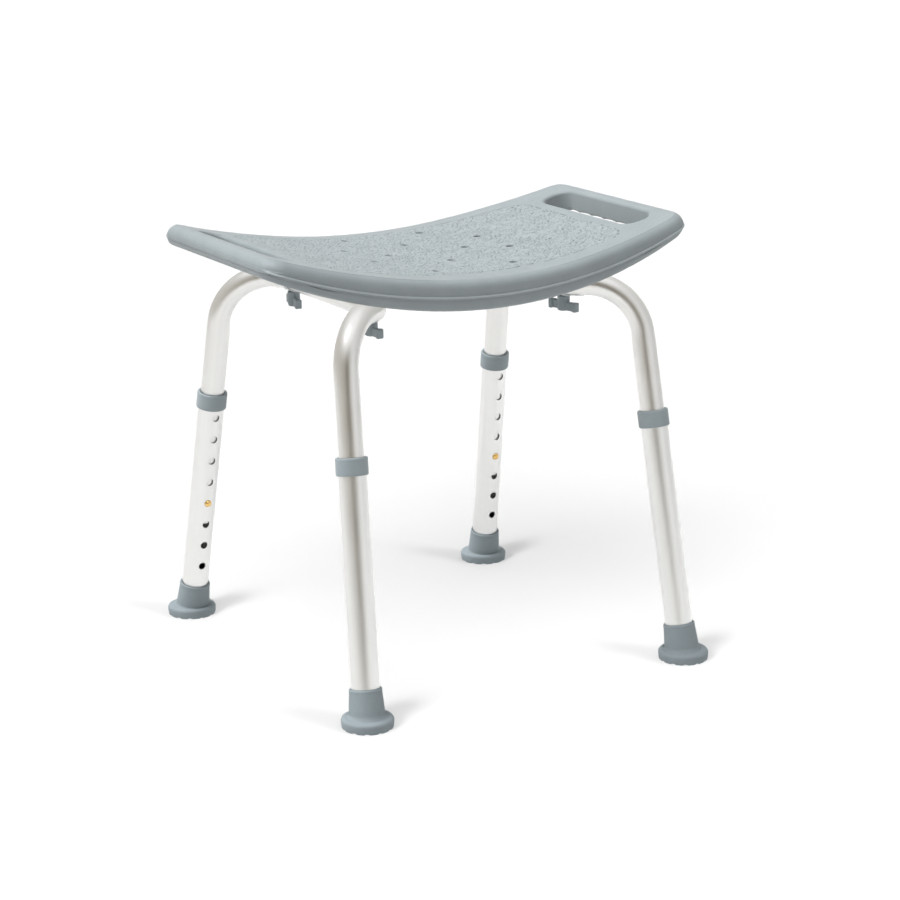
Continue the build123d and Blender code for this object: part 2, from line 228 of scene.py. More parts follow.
def outline(step):
    """Seat outline in plan, anticlockwise, with outward normals."""
    tt = math.atan2(CORNER_Y - YC_SIDE, CORNER_X)
    pi = math.pi
    seg = [line_pts((HL, -CORNER_Y), (HL, CORNER_Y), (1, 0), step),
           arc_pts(CORNER_X, CORNER_Y, CR, 0, tt, step * 0.7),
           arc_pts(0, YC_SIDE, R_SIDE, tt, pi - tt, step),
           arc_pts(-CORNER_X, CORNER_Y, CR, pi - tt, pi, step * 0.7),
           line_pts((-HL, CORNER_Y), (-HL, -CORNER_Y), (-1, 0), step),
           arc_pts(-CORNER_X, -CORNER_Y, CR, pi, pi + tt, step * 0.7),
           arc_pts(0, -YC_SIDE, R_SIDE, pi + tt, 2 * pi - tt, step),
           arc_pts(CORNER_X, -CORNER_Y, CR, 2 * pi - tt, 2 * pi, step * 0.7)]
    return np.concatenate([s[0] for s in seg]), np.concatenate([s[1] for s in seg])


def slot_outline(cx, w, l, r, step):
    """Hand slot in plan, anticlockwise, with normals pointing out of the hole, into the plastic."""
    hx, hy, pi = w / 2, l / 2, math.pi
    seg = [line_pts((hx, -hy + r), (hx, hy - r), (1, 0), step),
           arc_pts(hx - r, hy - r, r, 0, pi / 2, step * 0.7),
           line_pts((hx - r, hy), (-hx + r, hy), (0, 1), step),
           arc_pts(-hx + r, hy - r, r, pi / 2, pi, step * 0.7),
           line_pts((-hx, hy - r), (-hx, -hy + r), (-1, 0), step),
           arc_pts(-hx + r, -hy + r, r, pi, 1.5 * pi, step * 0.7),
           line_pts((-hx + r, -hy), (hx - r, -hy), (0, -1), step),
           arc_pts(hx - r, -hy + r, r, 1.5 * pi, 2 * pi, step * 0.7)]
    p = np.concatenate([s[0] for s in seg])
    return p + np.array([cx, 0.0]), np.concatenate([s[1] for s in seg])


def roll_top(p, into, r, steps):
    """Rings of a ball rolled along a vertical wall and the top skin, from the skin to the wall.
    into points from the wall into the plastic."""
    c = p + into * r
    zc = ZC_TOP - np.sqrt((R_TOP + r) ** 2 - c[:, 0] ** 2)
    cen = np.column_stack([c, zc])
    u = np.column_stack([-c[:, 0], np.zeros(len(c)), ZC_TOP - zc]) / (R_TOP + r)
    v = np.column_stack([-into, np.zeros(len(c))])
    return arc_rings(cen, u, v, r, steps)


def roll_bottom(p, into, r, steps):
    """The same on the bottom skin, from the wall to the skin."""
    c = p + into * r
    zc = ZC_BOT - np.sqrt((R_BOT - r) ** 2 - c[:, 0] ** 2)
    cen = np.column_stack([c, zc])
    u = np.column_stack([c[:, 0], np.zeros(len(c)), zc - ZC_BOT]) / (R_BOT - r)
    v = np.column_stack([-into, np.zeros(len(c))])
    return arc_rings(cen, v, u, r, steps)


def arc_rings(cen, u, v, r, steps):
    w = np.arccos(np.clip((u * v).sum(1), -1, 1))[:, None]
    out = []
    for t in (np.arange(steps + 1) / steps if np.isscalar(steps) else steps):
        d = (np.sin((1 - t) * w) * u + np.sin(t * w) * v) / np.sin(w)
        out.append(cen + r * d)
    return out


# ------------------------------------------------------------------ surface relief
def lattice(seed, n=256):
    return np.random.RandomState(seed).rand(n, n)


LAT = [lattice(s) for s in (11, 12, 13, 14, 15)]


def vnoise(x, y, cell, k):
    """Smooth value noise from 0 to 1."""
    t = LAT[k]
    gx, gy = x / cell + 1000.0, y / cell + 1000.0
    ix, iy = np.floor(gx).astype(int), np.floor(gy).astype(int)
    fx, fy = gx - ix, gy - iy
    fx, fy = fx * fx * (3 - 2 * fx), fy * fy * (3 - 2 * fy)
    a, b = t[ix % 256, iy % 256], t[(ix + 1) % 256, iy % 256]
    c, d = t[ix % 256, (iy + 1) % 256], t[(ix + 1) % 256, (iy + 1) % 256]
    return (a * (1 - fx) + b * fx) * (1 - fy) + (c * (1 - fx) + d * fx) * fy


def cells(x, y, pitch, k):
    """Distances to the nearest and second nearest of a jittered grid of points, over the pitch."""
    jx, jy = LAT[k], LAT[(k + 1) % 5]
    gx, gy = x / pitch + 1000.0, y / pitch + 1000.0
    ix, iy = np.floor(gx).astype(int), np.floor(gy).astype(int)
    f1 = np.full(x.shape, 9.0)
    f2 = np.full(x.shape, 9.0)
    for dx in (-1, 0, 1):
        for dy in (-1, 0, 1):
            cx, cy = ix + dx, iy + dy
            px = cx + 0.12 + 0.76 * jx[cx % 256, cy % 256]
            py = cy + 0.12 + 0.76 * jy[cx % 256, cy % 256]
            d = np.hypot(px - gx, py - gy)
            m = d < f1
            f2 = np.where(m, f1, np.minimum(f2, d))
            f1 = np.where(m, d, f1)
    return f1, f2


def smooth(e0, e1, x):
    t = np.clip((x - e0) / (e1 - e0), 0, 1)
    return t * t * (3 - 2 * t)


PANEL_X, PANEL_IN, PANEL_R = 180.0, 31.0, 22.0


def panel_depth(x, y):
    """Distance inside the textured panel's edge, negative outside."""
    a = (R_SIDE - PANEL_IN) - np.hypot(x, np.abs(y) - YC_SIDE)
    b = PANEL_X - np.abs(x)
    r = PANEL_R
    corner = r - np.hypot(np.maximum(r - a, 0), np.maximum(r - b, 0))
    return np.where((a < r) & (b < r), corner, np.minimum(a, b))


def grain(x, y):
    """Leather-like pebbles, 0 in the creases and about 1 on top."""
    wx = x + 3.0 * (vnoise(x, y, 6.0, 0) - 0.5) + 1.8 * (vnoise(x, y, 2.4, 1) - 0.5)
    wy = y + 3.0 * (vnoise(x, y, 6.0, 2) - 0.5) + 1.8 * (vnoise(x, y, 2.4, 3) - 0.5)
    f1, f2 = cells(wx, wy, GRAIN_PITCH, 0)
    crease = smooth(0.02, 0.24, f2 - f1)
    open_ = smooth(0.28, 0.50, vnoise(x, y, 3.2, 4))
    tilt = 0.16 * vnoise(x, y, 4.6, 2) - 0.10 * smooth(0.2, 0.7, f1)
    return 0.95 + tilt - (1 - crease) * open_


GRAIN_PITCH, GRAIN_DEPTH = 4.4, 1.7
DRAINS = [(0, 49), (0, -49), (46, 0), (-46, 0), (46, 97), (46, -97), (-46, 97), (-46, -97),
          (81, 33), (81, -33), (-81, 33), (-81, -33)]
DRAIN_R, DRAIN_EDGE = 4.2, 1.6


def relief_top(x, y):
    s = panel_depth(x, y)
    near = np.full(x.shape, 99.0)
    for dx, dy in DRAINS:
        near = np.minimum(near, np.hypot(x - dx, y - dy) - DRAIN_R - DRAIN_EDGE)
    inside = smooth(0.2, 1.6, s)
    bits = smooth(0.42, 0.58, vnoise(x, y, 4.2, 1))
    groove = np.exp(-((s + 0.1) / 0.75) ** 2) * (0.22 + 0.75 * bits)
    g = (grain(x, y) - 1.0) * GRAIN_DEPTH
    dip = 0.5 * np.exp(-(np.maximum(near, 0) / 2.6) ** 2)
    h = -groove + inside * (g * smooth(-0.4, 1.4, near) + 0.05) - inside * dip * 0.5
    # second value: painted shade, how much the colour is darkened in the grain's creases and in the panel's edge groove
    return h, np.clip(inside * -g / GRAIN_DEPTH * smooth(-0.4, 1.4, near) + groove * 1.05, 0, 1)


def scallop(x, y):
    """Finger grooves on the underside of each grip."""
    ax, ay = np.abs(x), np.abs(y)
    wave = np.abs(np.cos(np.pi * y / 24.0)) ** 0.9
    return (0.8 + 1.1 * wave) * smooth(221, 227, ax) * (1 - smooth(236, 243, ax)) * (1 - smooth(80, 88, ay))


def tube_centres():
    """Centre line of one leg frame's top run and knees, every half millimetre, for x > 0, y > 0."""
    out = []
    for a, b in zip(FRAME_PATH[:-1], FRAME_PATH[1:]):
        n = max(1, int(np.linalg.norm(b - a) / 0.6))
        out.append(a + (b - a) * (np.arange(n) / n)[:, None])
    return np.concatenate(out)


def z_under(x, y):
    """Underside: the bottom skin with a moulded channel for each tube."""
    ax, ay = np.abs(x), np.abs(y)
    base = z_bot(x)
    path = tube_centres()
    path = path[path[:, 2] > 360]
    out = base.copy()
    near = (ax > 90) & (ax < 200)
    idx = np.nonzero(near)[0]
    rc = 13.0
    for k in range(0, len(idx), 3000):
        i = idx[k:k + 3000]
        d2 = (ax[i][:, None] - path[None, :, 0]) ** 2 + (ay[i][:, None] - path[None, :, 1]) ** 2
        top = np.where(d2 < rc * rc, path[None, :, 2] + np.sqrt(np.maximum(rc * rc - d2, 0)), 300.0).max(1)
        h = np.clip(0.5 + 0.5 * (top - base[i]) / 1.6, 0, 1)
        out[i] = base[i] * (1 - h) + top * h + 1.6 * h * (1 - h)
    return out


def make_seat():
    step = 1.7
    pitch = 0.68
    r_top, r_bot = 11.0, 8.5
    roll = np.array([0, 5, 10, 14, 16.5, 18.5, 20.5, 22.5, 24.5, 28, 34, 41, 49, 58, 68, 79, 90]) / 90.0
    p, nrm = outline(step)
    n = len(p)
    co, quads, tris = [], [], []
    count = [0]

    def add(v):
        co.append(v)
        i = np.arange(count[0], count[0] + len(v))
        count[0] += len(v)
        return i

    # outer rim, from the top skin down to the bottom skin
    wall = 0.45
    rings = roll_top(p - nrm * wall, -nrm, r_top, roll)
    edge = smooth(10, 110, np.abs(p[:, 0]))
    for t, r in zip(roll, rings):
        inset = r_top * (1 - math.sin(t * math.pi / 2))
        if inset > 6.3:
            # the flat rim carries on a little before it breaks over into the roll
            low = (1 - smooth(6.4, 7.8, inset)) * 0.96 + 0.22 * math.exp(-((inset - 7.1) / 0.5) ** 2)
            r[:, 2] += edge * (z_top(r[:, 0]) - low - r[:, 2])
    rings[0][:, 2] = z_top(rings[0][:, 0])
    top_loop_xyz = rings[0]
    wall_top = rings[-1][:, 2]
    zs = z_seam(p[:, 0])
    body = [r for r in rings[1:]]

    def at(depth, z):
        depth = wall + (depth - wall) * short
        return np.column_stack([p - nrm * depth[:, None], z])

    short = 1 - 0.95 * smooth(0.78, 0.97, np.abs(nrm[:, 0]))
    bt, proud = 1.5, 0.9
    body.append(at(wall, wall_top * 0.5 + (zs + bt + 1.0) * 0.5))
    body.append(at(wall + 0.02, zs + bt + 1.0))
    body.append(at(wall + 0.12, zs + bt + 0.5))
    body.append(at(wall + 0.20, zs + bt + 0.12))
    i_bead = len(body)
    for k in range(0, 9):
        a = math.pi * (k + 0.5) / 9
        body.append(at(wall + 0.15 - (proud + wall + 0.15) * math.sin(a) ** 0.8, zs + bt * math.cos(a)))
    body.append(at(0.85, zs - bt - 0.10))
    body.append(at(1.25, zs - bt - 0.50))
    body.append(at(1.0, zs - bt - 1.2))
    pb = p - nrm * 0.9
    low = roll_bottom(pb, -nrm, r_bot, 9)
    wall_low = low[0][:, 2]
    body.append(np.column_stack([p - nrm * 0.95, (zs - bt - 1.2) * 0.6 + wall_low * 0.4]))
    body += low[:-1]
    bot_loop_xyz = low[-1]

    # hand slots
    slots = []
    for cx in (-211.0, 211.0):
        sp, sn = slot_outline(cx + math.copysign(0.6, cx), 33.0, 176.4, 16.0, 1.7)
        t = roll_top(sp, sn, 3.8, 8)
        b = roll_bottom(sp, sn, 3.0, 6)
        slots.append((t, b))
    holes = []
    for dx, dy in DRAINS:
        a = 2 * math.pi * np.arange(40) / 40
        sn = np.stack([np.cos(a), np.sin(a)], 1)
        sp = sn * DRAIN_R + np.array([dx, dy], float)
        holes.append((roll_top(sp, sn, DRAIN_EDGE, 5), roll_bottom(sp, sn, 0.8, 3)))

    # top skin
    loops3 = [top_loop_xyz] + [s[0][0] for s in slots] + [h[0][0] for h in holes]
    pts, q, t = fill_region([l[:, :2] for l in loops3], pitch)
    nl = sum(len(l) for l in loops3)
    rel, crease = relief_top(pts[:, 0], pts[:, 1])
    z = z_top(pts[:, 0]) + rel
    painted_crease_shade = [crease]
    z[:nl] = np.concatenate([l[:, 2] for l in loops3])
    ti = add(np.column_stack([pts, z]))
    quads.append(ti[q])
    tris.append(ti[t])
    base = 0
    top_ids = []
    for l in loops3:
        top_ids.append(ti[base:base + len(l)])
        base += len(l)

    # underside
    loopsb = [bot_loop_xyz] + [s[1][-1] for s in slots] + [h[1][-1] for h in holes]
    pts, q, t = fill_region([l[:, :2] for l in loopsb], 2.0)
    z = z_under(pts[:, 0], pts[:, 1]) + scallop(pts[:, 0], pts[:, 1])
    nl = sum(len(l) for l in loopsb)
    zb = np.concatenate([l[:, 2] for l in loopsb]) + scallop(pts[:nl, 0], pts[:nl, 1])
    z[:nl] = zb
    bi = add(np.column_stack([pts, z]))
    quads.append(bi[q][:, ::-1])
    tris.append(bi[t][:, ::-1])
    base = 0
    bot_ids = []
    for l in loopsb:
        bot_ids.append(bi[base:base + len(l)])
        base += len(l)

    # rim
    prev = top_ids[0]
    bead = []
    for i_ring, r in enumerate(body):
        cur = add(r)
        # the upper half of the seam bead gets a painted highlight
        if i_bead <= i_ring < i_bead + 5:
            bead.append((cur, np.clip((short - 0.1) / 0.9, 0, 1)))
        quads.append(strip(cur, prev))
        prev = cur
    quads.append(strip(bot_ids[0], prev))

    # walls of the slots and drains
    for k, (t, b) in enumerate(slots + holes):
        prev = top_ids[1 + k]
        rings_ = list(t[1:])
        bb = [np.column_stack([r[:, 0], r[:, 1], r[:, 2] + scallop(r[:, 0], r[:, 1])]) for r in b[:-1]]
        mid = (t[-1] + bb[0]) / 2
        rings_ += [mid] + bb
        for r in rings_:
            cur = add(r)
            quads.append(strip(prev, cur))
            prev = cur
        quads.append(strip(prev, bot_ids[1 + k]))
    co = np.concatenate(co)
    # painted highlight: lighter colour on the panel's pebble tops and on the upper side of the seam bead
    painted_highlight = np.zeros(len(co))
    n_top = len(painted_crease_shade[0])
    painted_highlight[:n_top] = 0.42 * smooth(0.2, 1.6, panel_depth(co[:n_top, 0], co[:n_top, 1])) * (1 - painted_crease_shade[0]) ** 2
    for i, amount in bead:
        painted_highlight[i] = amount
    # the rim falls away a little toward the long edges
    ax = np.abs(co[:, 0])
    inset = R_SIDE - np.hypot(co[:, 0], np.abs(co[:, 1]) - YC_SIDE)
    fall = 1.7 * (1 - smooth(40, 175, ax)) * (1 - smooth(3, 45, inset))
    foot_z = z_seam(co[:, 0]) + 2.6
    co[:, 2] -= fall * np.clip((co[:, 2] - foot_z) / np.maximum(z_top(co[:, 0]) - foot_z, 1.0), 0, 1)
    co[:, 2] = np.minimum(co[:, 2], 459.3)
    # painted shade: these crease values darken the colour in the creases
    crease = np.zeros(len(co))
    crease[:len(painted_crease_shade[0])] = painted_crease_shade[0]
    return build_mesh("seat", co, np.concatenate(quads), np.concatenate(tris), values={"crease": crease, "ridge_highlight": painted_highlight})


# ------------------------------------------------------------------ legs and tubes, as in the CAD
FOOT_X, FOOT_Y, LEAN_X, LEAN_Y = 190.9, 204.7, 0.0444, 0.178
AXIS_N = math.sqrt(1 + LEAN_X ** 2 + LEAN_Y ** 2)
LEGS = {"back_left": (-1, 1), "front_left": (-1, -1), "front_right": (1, -1), "back_right": (1, 1)}
TUBE_R, TUBE_IN_R = 12.7, 11.3
LEG_R, LEG_IN_R, LEG_T0, LEG_T1 = 14.3, 12.9, 10.5, 263.2
HOLE_TS = [241.9 - 25.4 * i for i in range(8)]
BUTTON_T = HOLE_TS[4]
END_T = 115.5
KNOB_X, KNOB_Y = 115.0, 85.0


def leg_point(z):
    return np.array([FOOT_X - LEAN_X * z, FOOT_Y - LEAN_Y * z, z])


def leg_axes(sx, sy):
    """Origin and axes of a leg: z up the leg, x facing inward along Y."""
    z = np.array([-sx * LEAN_X, -sy * LEAN_Y, 1.0]) / AXIS_N
    d = np.array([0.0, -sy, 0.0])
    x = d - z * (d @ z)
    x /= np.linalg.norm(x)
    return np.array([sx * FOOT_X, sy * FOOT_Y, 0.0]), np.stack([x, np.cross(z, x), z])


def on_leg(co, sx, sy):
    o, m = leg_axes(sx, sy)
    return o + co @ m


def fillet_path(pts, radii, step=3.0):
    """Points along straight runs joined by tangent arcs, with the unit vector to each arc's centre (zero on a run)."""
    pts = [np.array(p, float) for p in pts]
    out, cen_dir = [pts[0]], [np.zeros(3)]
    for i in range(1, len(pts) - 1):
        a, b, c = pts[i - 1], pts[i], pts[i + 1]
        u, v = (a - b) / np.linalg.norm(a - b), (c - b) / np.linalg.norm(c - b)
        ang = math.acos(float(np.clip(u @ v, -1, 1)))
        r = radii[i - 1]
        t = r / math.tan(ang / 2)
        p, q = b + u * t, b + v * t
        cen = b + (u + v) / np.linalg.norm(u + v) * (r / math.sin(ang / 2))
        e1 = (p - cen) / r
        sweep = math.pi - ang
        e2 = (q - cen) / r - e1 * math.cos(sweep)
        e2 = e2 / np.linalg.norm(e2)
        n = max(6, int(sweep * r / step))
        gap = np.linalg.norm(p - out[-1])
        m = max(1, int(gap / 6.0))
        for k in range(1, m):
            out.append(out[-1] + (p - out[-1]) / (m - k + 1))
            cen_dir.append(np.zeros(3))
        for k in range(n + 1):
            s = sweep * k / n
            out.append(cen + r * (math.cos(s) * e1 + math.sin(s) * e2))
            cen_dir.append(-(math.cos(s) * e1 + math.sin(s) * e2))
    gap = np.linalg.norm(pts[-1] - out[-1])
    m = max(1, int(gap / 6.0))
    last = out[-1]
    for k in range(1, m + 1):
        out.append(last + (pts[-1] - last) * k / m)
        cen_dir.append(np.zeros(3))
    return np.array(out), np.array(cen_dir)


SPLIT_T = 190.0
half = [leg_point(SPLIT_T / AXIS_N), leg_point(396.0), np.array([115.0, 98.0, 394.0]), np.array([115.0, 0.0, 394.0])]
FRAME_PATH, FRAME_BEND = fillet_path(half, [60.0, 24.0], 2.2)


def sheet(w, t0, t1, n_round, holes, hole_r, pitch):
    """Unrolled tube wall w wide from t0 to t1, with round holes on its middle line.
    Returns points, quads, tris, the bottom and top rings, and the hole loops. The two long sides are joined."""
    nh = max(2, int((t1 - t0) / pitch))
    du, dv = w / n_round, (t1 - t0) / nh
    bottom = np.array([[i * du, t0] for i in range(n_round)])
    right = np.array([[w, t0 + j * dv] for j in range(nh)])
    top = np.array([[w - i * du, t1] for i in range(n_round)])
    left = np.array([[0.0, t1 - j * dv] for j in range(nh)])
    loops = [np.concatenate([bottom, right, top, left])]
    a = 2 * math.pi * np.arange(32) / 32
    for t in holes:
        loops.append(np.column_stack([w / 2 + hole_r * np.cos(a), t + hole_r * np.sin(a)]))
    pts, q, t = fill_region(loops, pitch)
    same = np.arange(len(pts))
    r0, t_0, l0 = n_round, n_round + nh, 2 * n_round + nh
    same[r0] = 0
    for j in range(1, nh):
        same[r0 + j] = l0 + nh - j
    same[t_0] = l0
    q, t = same[q], same[t]
    bottom_ring = np.arange(n_round)
    top_ring = np.array([l0] + [t_0 + n_round - i for i in range(1, n_round)])
    base, rings = len(loops[0]), []
    for lp in loops[1:]:
        rings.append(np.arange(base, base + len(lp)))
        base += len(lp)
    return pts, q, t, bottom_ring, top_ring, rings, loops[1:]


def wrap_round(pts, w, r):
    a = (pts[:, 0] - w / 2) * 2 * math.pi / w
    return np.column_stack([r * np.cos(a), r * np.sin(a), pts[:, 1]])


class Mesh:
    """Collects vertices, faces and unrolled coordinates."""

    def __init__(self):
        self.co, self.uv, self.q, self.t, self.n = [], [], [], [], 0

    def add(self, co, uv=None):
        self.co.append(np.asarray(co, float))
        self.uv.append(np.zeros((len(co), 2)) if uv is None else np.asarray(uv, float))
        ids = np.arange(self.n, self.n + len(co))
        self.n += len(co)
        return ids

    def quads(self, q, flip=False):
        self.q.append(np.asarray(q)[:, ::-1] if flip else np.asarray(q))

    def tris(self, t, flip=False):
        self.t.append(np.asarray(t)[:, ::-1] if flip else np.asarray(t))

    def arrays(self):
        q = np.concatenate(self.q) if self.q else np.zeros((0, 4), int)
        t = np.concatenate(self.t) if self.t else np.zeros((0, 3), int)
        return np.concatenate(self.co), q, t, np.concatenate(self.uv)


def holed_wall(m, r_out, r_in, t0, t1, n_round, holes, hole_r, pitch=2.2, lip=0.28):
    """Both faces of a tube wall with rounded holes. Returns the outer and inner rings at both ends."""
    w = 2 * math.pi * r_out
    pts, q, t, b, tp, rings, loops = sheet(w, t0, t1, n_round, holes, hole_r + lip, pitch)
    o = m.add(wrap_round(pts, w, r_out), pts)
    m.quads(o[q])
    m.tris(o[t])
    i = m.add(wrap_round(pts, w, r_in), pts)
    m.quads(i[q], True)
    m.tris(i[t], True)
    for ring, lp in zip(rings, loops):
        cen = lp.mean(0)
        prev = o[ring]
        for grow, r in ((0.28, r_out - 0.08), (0.0, r_out - lip), (0.0, r_in + lip), (0.28, r_in + 0.08)):
            p = cen + (lp - cen) * ((hole_r + lip * grow) / (hole_r + lip))
            cur = m.add(wrap_round(p, w, r), p)
            m.quads(strip(prev, cur))
            prev = cur
        m.quads(strip(prev, i[ring]))
    return o[b], o[tp], i[b], i[tp], w


def make_lower_leg():
    """Lower leg tube in its own axes."""
    m = Mesh()
    ob, ot, ib, it, w = holed_wall(m, LEG_R, LEG_IN_R, LEG_T0 + 0.4, LEG_T1 - 0.4, 64, HOLE_TS, 4.0)
    co = np.concatenate(m.co)
    for o, i, t, up in ((ot, it, LEG_T1, True), (ob, ib, LEG_T0, False)):
        prev = o
        for r in (LEG_R - 0.35, LEG_IN_R + 0.35):
            a = np.arctan2(co[o, 1], co[o, 0])
            cur = m.add(np.column_stack([r * np.cos(a), r * np.sin(a), np.full(len(a), t)]))
            m.quads(strip(prev, cur), not up)
            prev = cur
        m.quads(strip(prev, i), not up)
    return m.arrays(), w


def make_frame():
    """Right-hand leg frame: one bent tube, flattened a little where it bends."""
    m = Mesh()
    n = 60
    ob, ot, ib, it, w = holed_wall(m, TUBE_R, TUBE_IN_R, END_T + 0.3, SPLIT_T, n, [BUTTON_T], 4.0)
    co = np.concatenate(m.co)
    a = np.arctan2(co[ob, 1], co[ob, 0])
    mid = m.add(np.column_stack([12.0 * np.cos(a), 12.0 * np.sin(a), np.full(n, END_T)]))
    m.quads(strip(ob, mid), True)
    m.quads(strip(mid, ib), True)
    for k in range(len(m.co)):
        m.co[k] = on_leg(m.co[k], 1, 1)
    # the swept part, up from the split ring to the middle of the top run
    ang = np.arctan2(co[ot, 1], co[ot, 0])
    path, bend = FRAME_PATH, FRAME_BEND
    weight = np.linalg.norm(bend, axis=1)
    s = np.concatenate([[0], np.cumsum(np.linalg.norm(np.diff(path, axis=0), axis=1))])
    soft = np.array([np.average(weight, weights=np.exp(-((s - x) / 7.0) ** 2)) for x in s])
    dirs = bend.copy()
    for k in range(len(dirs)):
        if weight[k] < 0.5:
            near = np.argmin(np.where(weight > 0.5, np.abs(s - s[k]), 1e9))
            dirs[k] = bend[near]
    tan = np.gradient(path, axis=0)
    tan /= np.linalg.norm(tan, axis=1)[:, None]
    tan[0] = (path[1] - path[0]) / np.linalg.norm(path[1] - path[0])
    tan[-1] = np.array([0.0, -1.0, 0.0])
    o, ax = leg_axes(1, 1)
    x, y = ax[0], ax[1]
    prev_o, prev_i = ot, it
    for k in range(1, len(path)):
        x = x - tan[k] * (x @ tan[k])
        x /= np.linalg.norm(x)
        y = np.cross(tan[k], x)
        d = np.cos(ang)[:, None] * x + np.sin(ang)[:, None] * y
        c = dirs[k] - tan[k] * (dirs[k] @ tan[k])
        c /= max(np.linalg.norm(c), 1e-9)
        along = d @ c
        squeeze = 1 - 0.045 * soft[k] * along ** 2 + 0.012 * soft[k] * (1 - along ** 2)
        shift = -0.25 * soft[k] * c
        uv = np.column_stack([(ang + math.pi) / (2 * math.pi) * w, np.full(n, SPLIT_T + s[k])])
        ring = path[k] + shift + d * (TUBE_R * squeeze)[:, None]
        ring_i = path[k] + shift + d * (TUBE_IN_R * squeeze)[:, None]
        if k == len(path) - 1:
            ring[:, 1] = 0.0
            ring_i[:, 1] = 0.0
        cur_o = m.add(ring, uv)
        cur_i = m.add(ring_i, uv)
        m.quads(strip(prev_o, cur_o))
        m.quads(strip(prev_i, cur_i), True)
        prev_o, prev_i = cur_o, cur_i
    co, q, t, uv = m.arrays()
    # the other half, mirrored, sharing the middle rings
    last = np.concatenate([prev_o, prev_i])
    back = np.arange(len(co)) + len(co)
    back[last] = last
    keep = np.ones(len(co), bool)
    keep[last] = False
    new = np.cumsum(keep) - 1 + len(co)
    back = np.where(keep, new, np.arange(len(co)))
    co2 = co[keep] * np.array([1, -1, 1])
    uv2 = uv[keep].copy()
    uv2[:, 1] = 2 * uv[prev_o[0], 1] - uv2[:, 1]
    return (np.concatenate([co, co2]), np.concatenate([q, back[q][:, ::-1]]), np.concatenate([t, back[t][:, ::-1]]),
            np.concatenate([uv, uv2])), w


def mirrored(arrays, axis):
    co, q, t, uv = arrays
    f = np.ones(3)
    f[axis] = -1
    return co * f, q[:, ::-1], t[:, ::-1], uv


def lathe(profile, n=96, twist=None):
    """Closed ring of revolution about local z. profile: (r, z) points, anticlockwise with r to the right."""
    m = Mesh()
    a = 2 * math.pi * np.arange(n) / n
    ids = []
    length = 0.0
    for k, (r, z) in enumerate(profile):
        if k:
            length += math.hypot(r - profile[k - 1][0], z - profile[k - 1][1])
        ids.append(m.add(np.column_stack([r * np.cos(a), r * np.sin(a), np.full(n, z)]),
                         np.column_stack([a * 15.0, np.full(n, length)])))
    for k in range(len(ids)):
        m.quads(strip(ids[k], ids[(k + 1) % len(ids)]))
    return m.arrays()


def lathe_solid(profile, n=48):
    """Solid of revolution. The profile starts and ends on the axis."""
    m = Mesh()
    a = 2 * math.pi * np.arange(n) / n
    first = m.add([[0, 0, profile[0][1]]])
    prev = None
    for r, z in profile[1:-1]:
        cur = m.add(np.column_stack([r * np.cos(a), r * np.sin(a), np.full(n, z)]), np.column_stack([a * 4.0, np.full(n, z)]))
        if prev is None:
            m.tris(np.stack([np.full(n, first[0]), np.roll(cur, -1), cur], 1))
        else:
            m.quads(strip(prev, cur))
        prev = cur
    end = m.add([[0, 0, profile[-1][1]]])
    m.tris(np.stack([np.full(n, end[0]), prev, np.roll(prev, -1)], 1))
    return m.arrays()


def corner(cx, cz, r, a0, a1, n=5):
    """Points of a rounded profile corner."""
    return [(cx + r * math.cos(math.radians(a0 + (a1 - a0) * k / n)), cz + r * math.sin(math.radians(a0 + (a1 - a0) * k / n)))
            for k in range(n + 1)]


def make_collar():
    t0, t1 = 250.2, 268.0
    p = [(14.34, t0 + 0.25)] + [(14.6, t0)] + [(15.2, t0)]
    p += corner(15.5, t0 + 0.8, 0.8, -90, 0, 4)
    p += [(16.3, t0 + 6), (16.26, t0 + 12)]
    p += corner(14.75, t1 - 1.55, 1.55, 0, 90, 7)
    p += [(14.2, t1 - 0.12)] + corner(13.6, t1 - 0.8, 0.55, 70, 180, 4)
    p += [(13.0, t1 - 1.6), (12.82, t1 - 2.4), (12.82, LEG_T1 + 0.15), (14.34, LEG_T1 + 0.15)]
    return lathe(p)


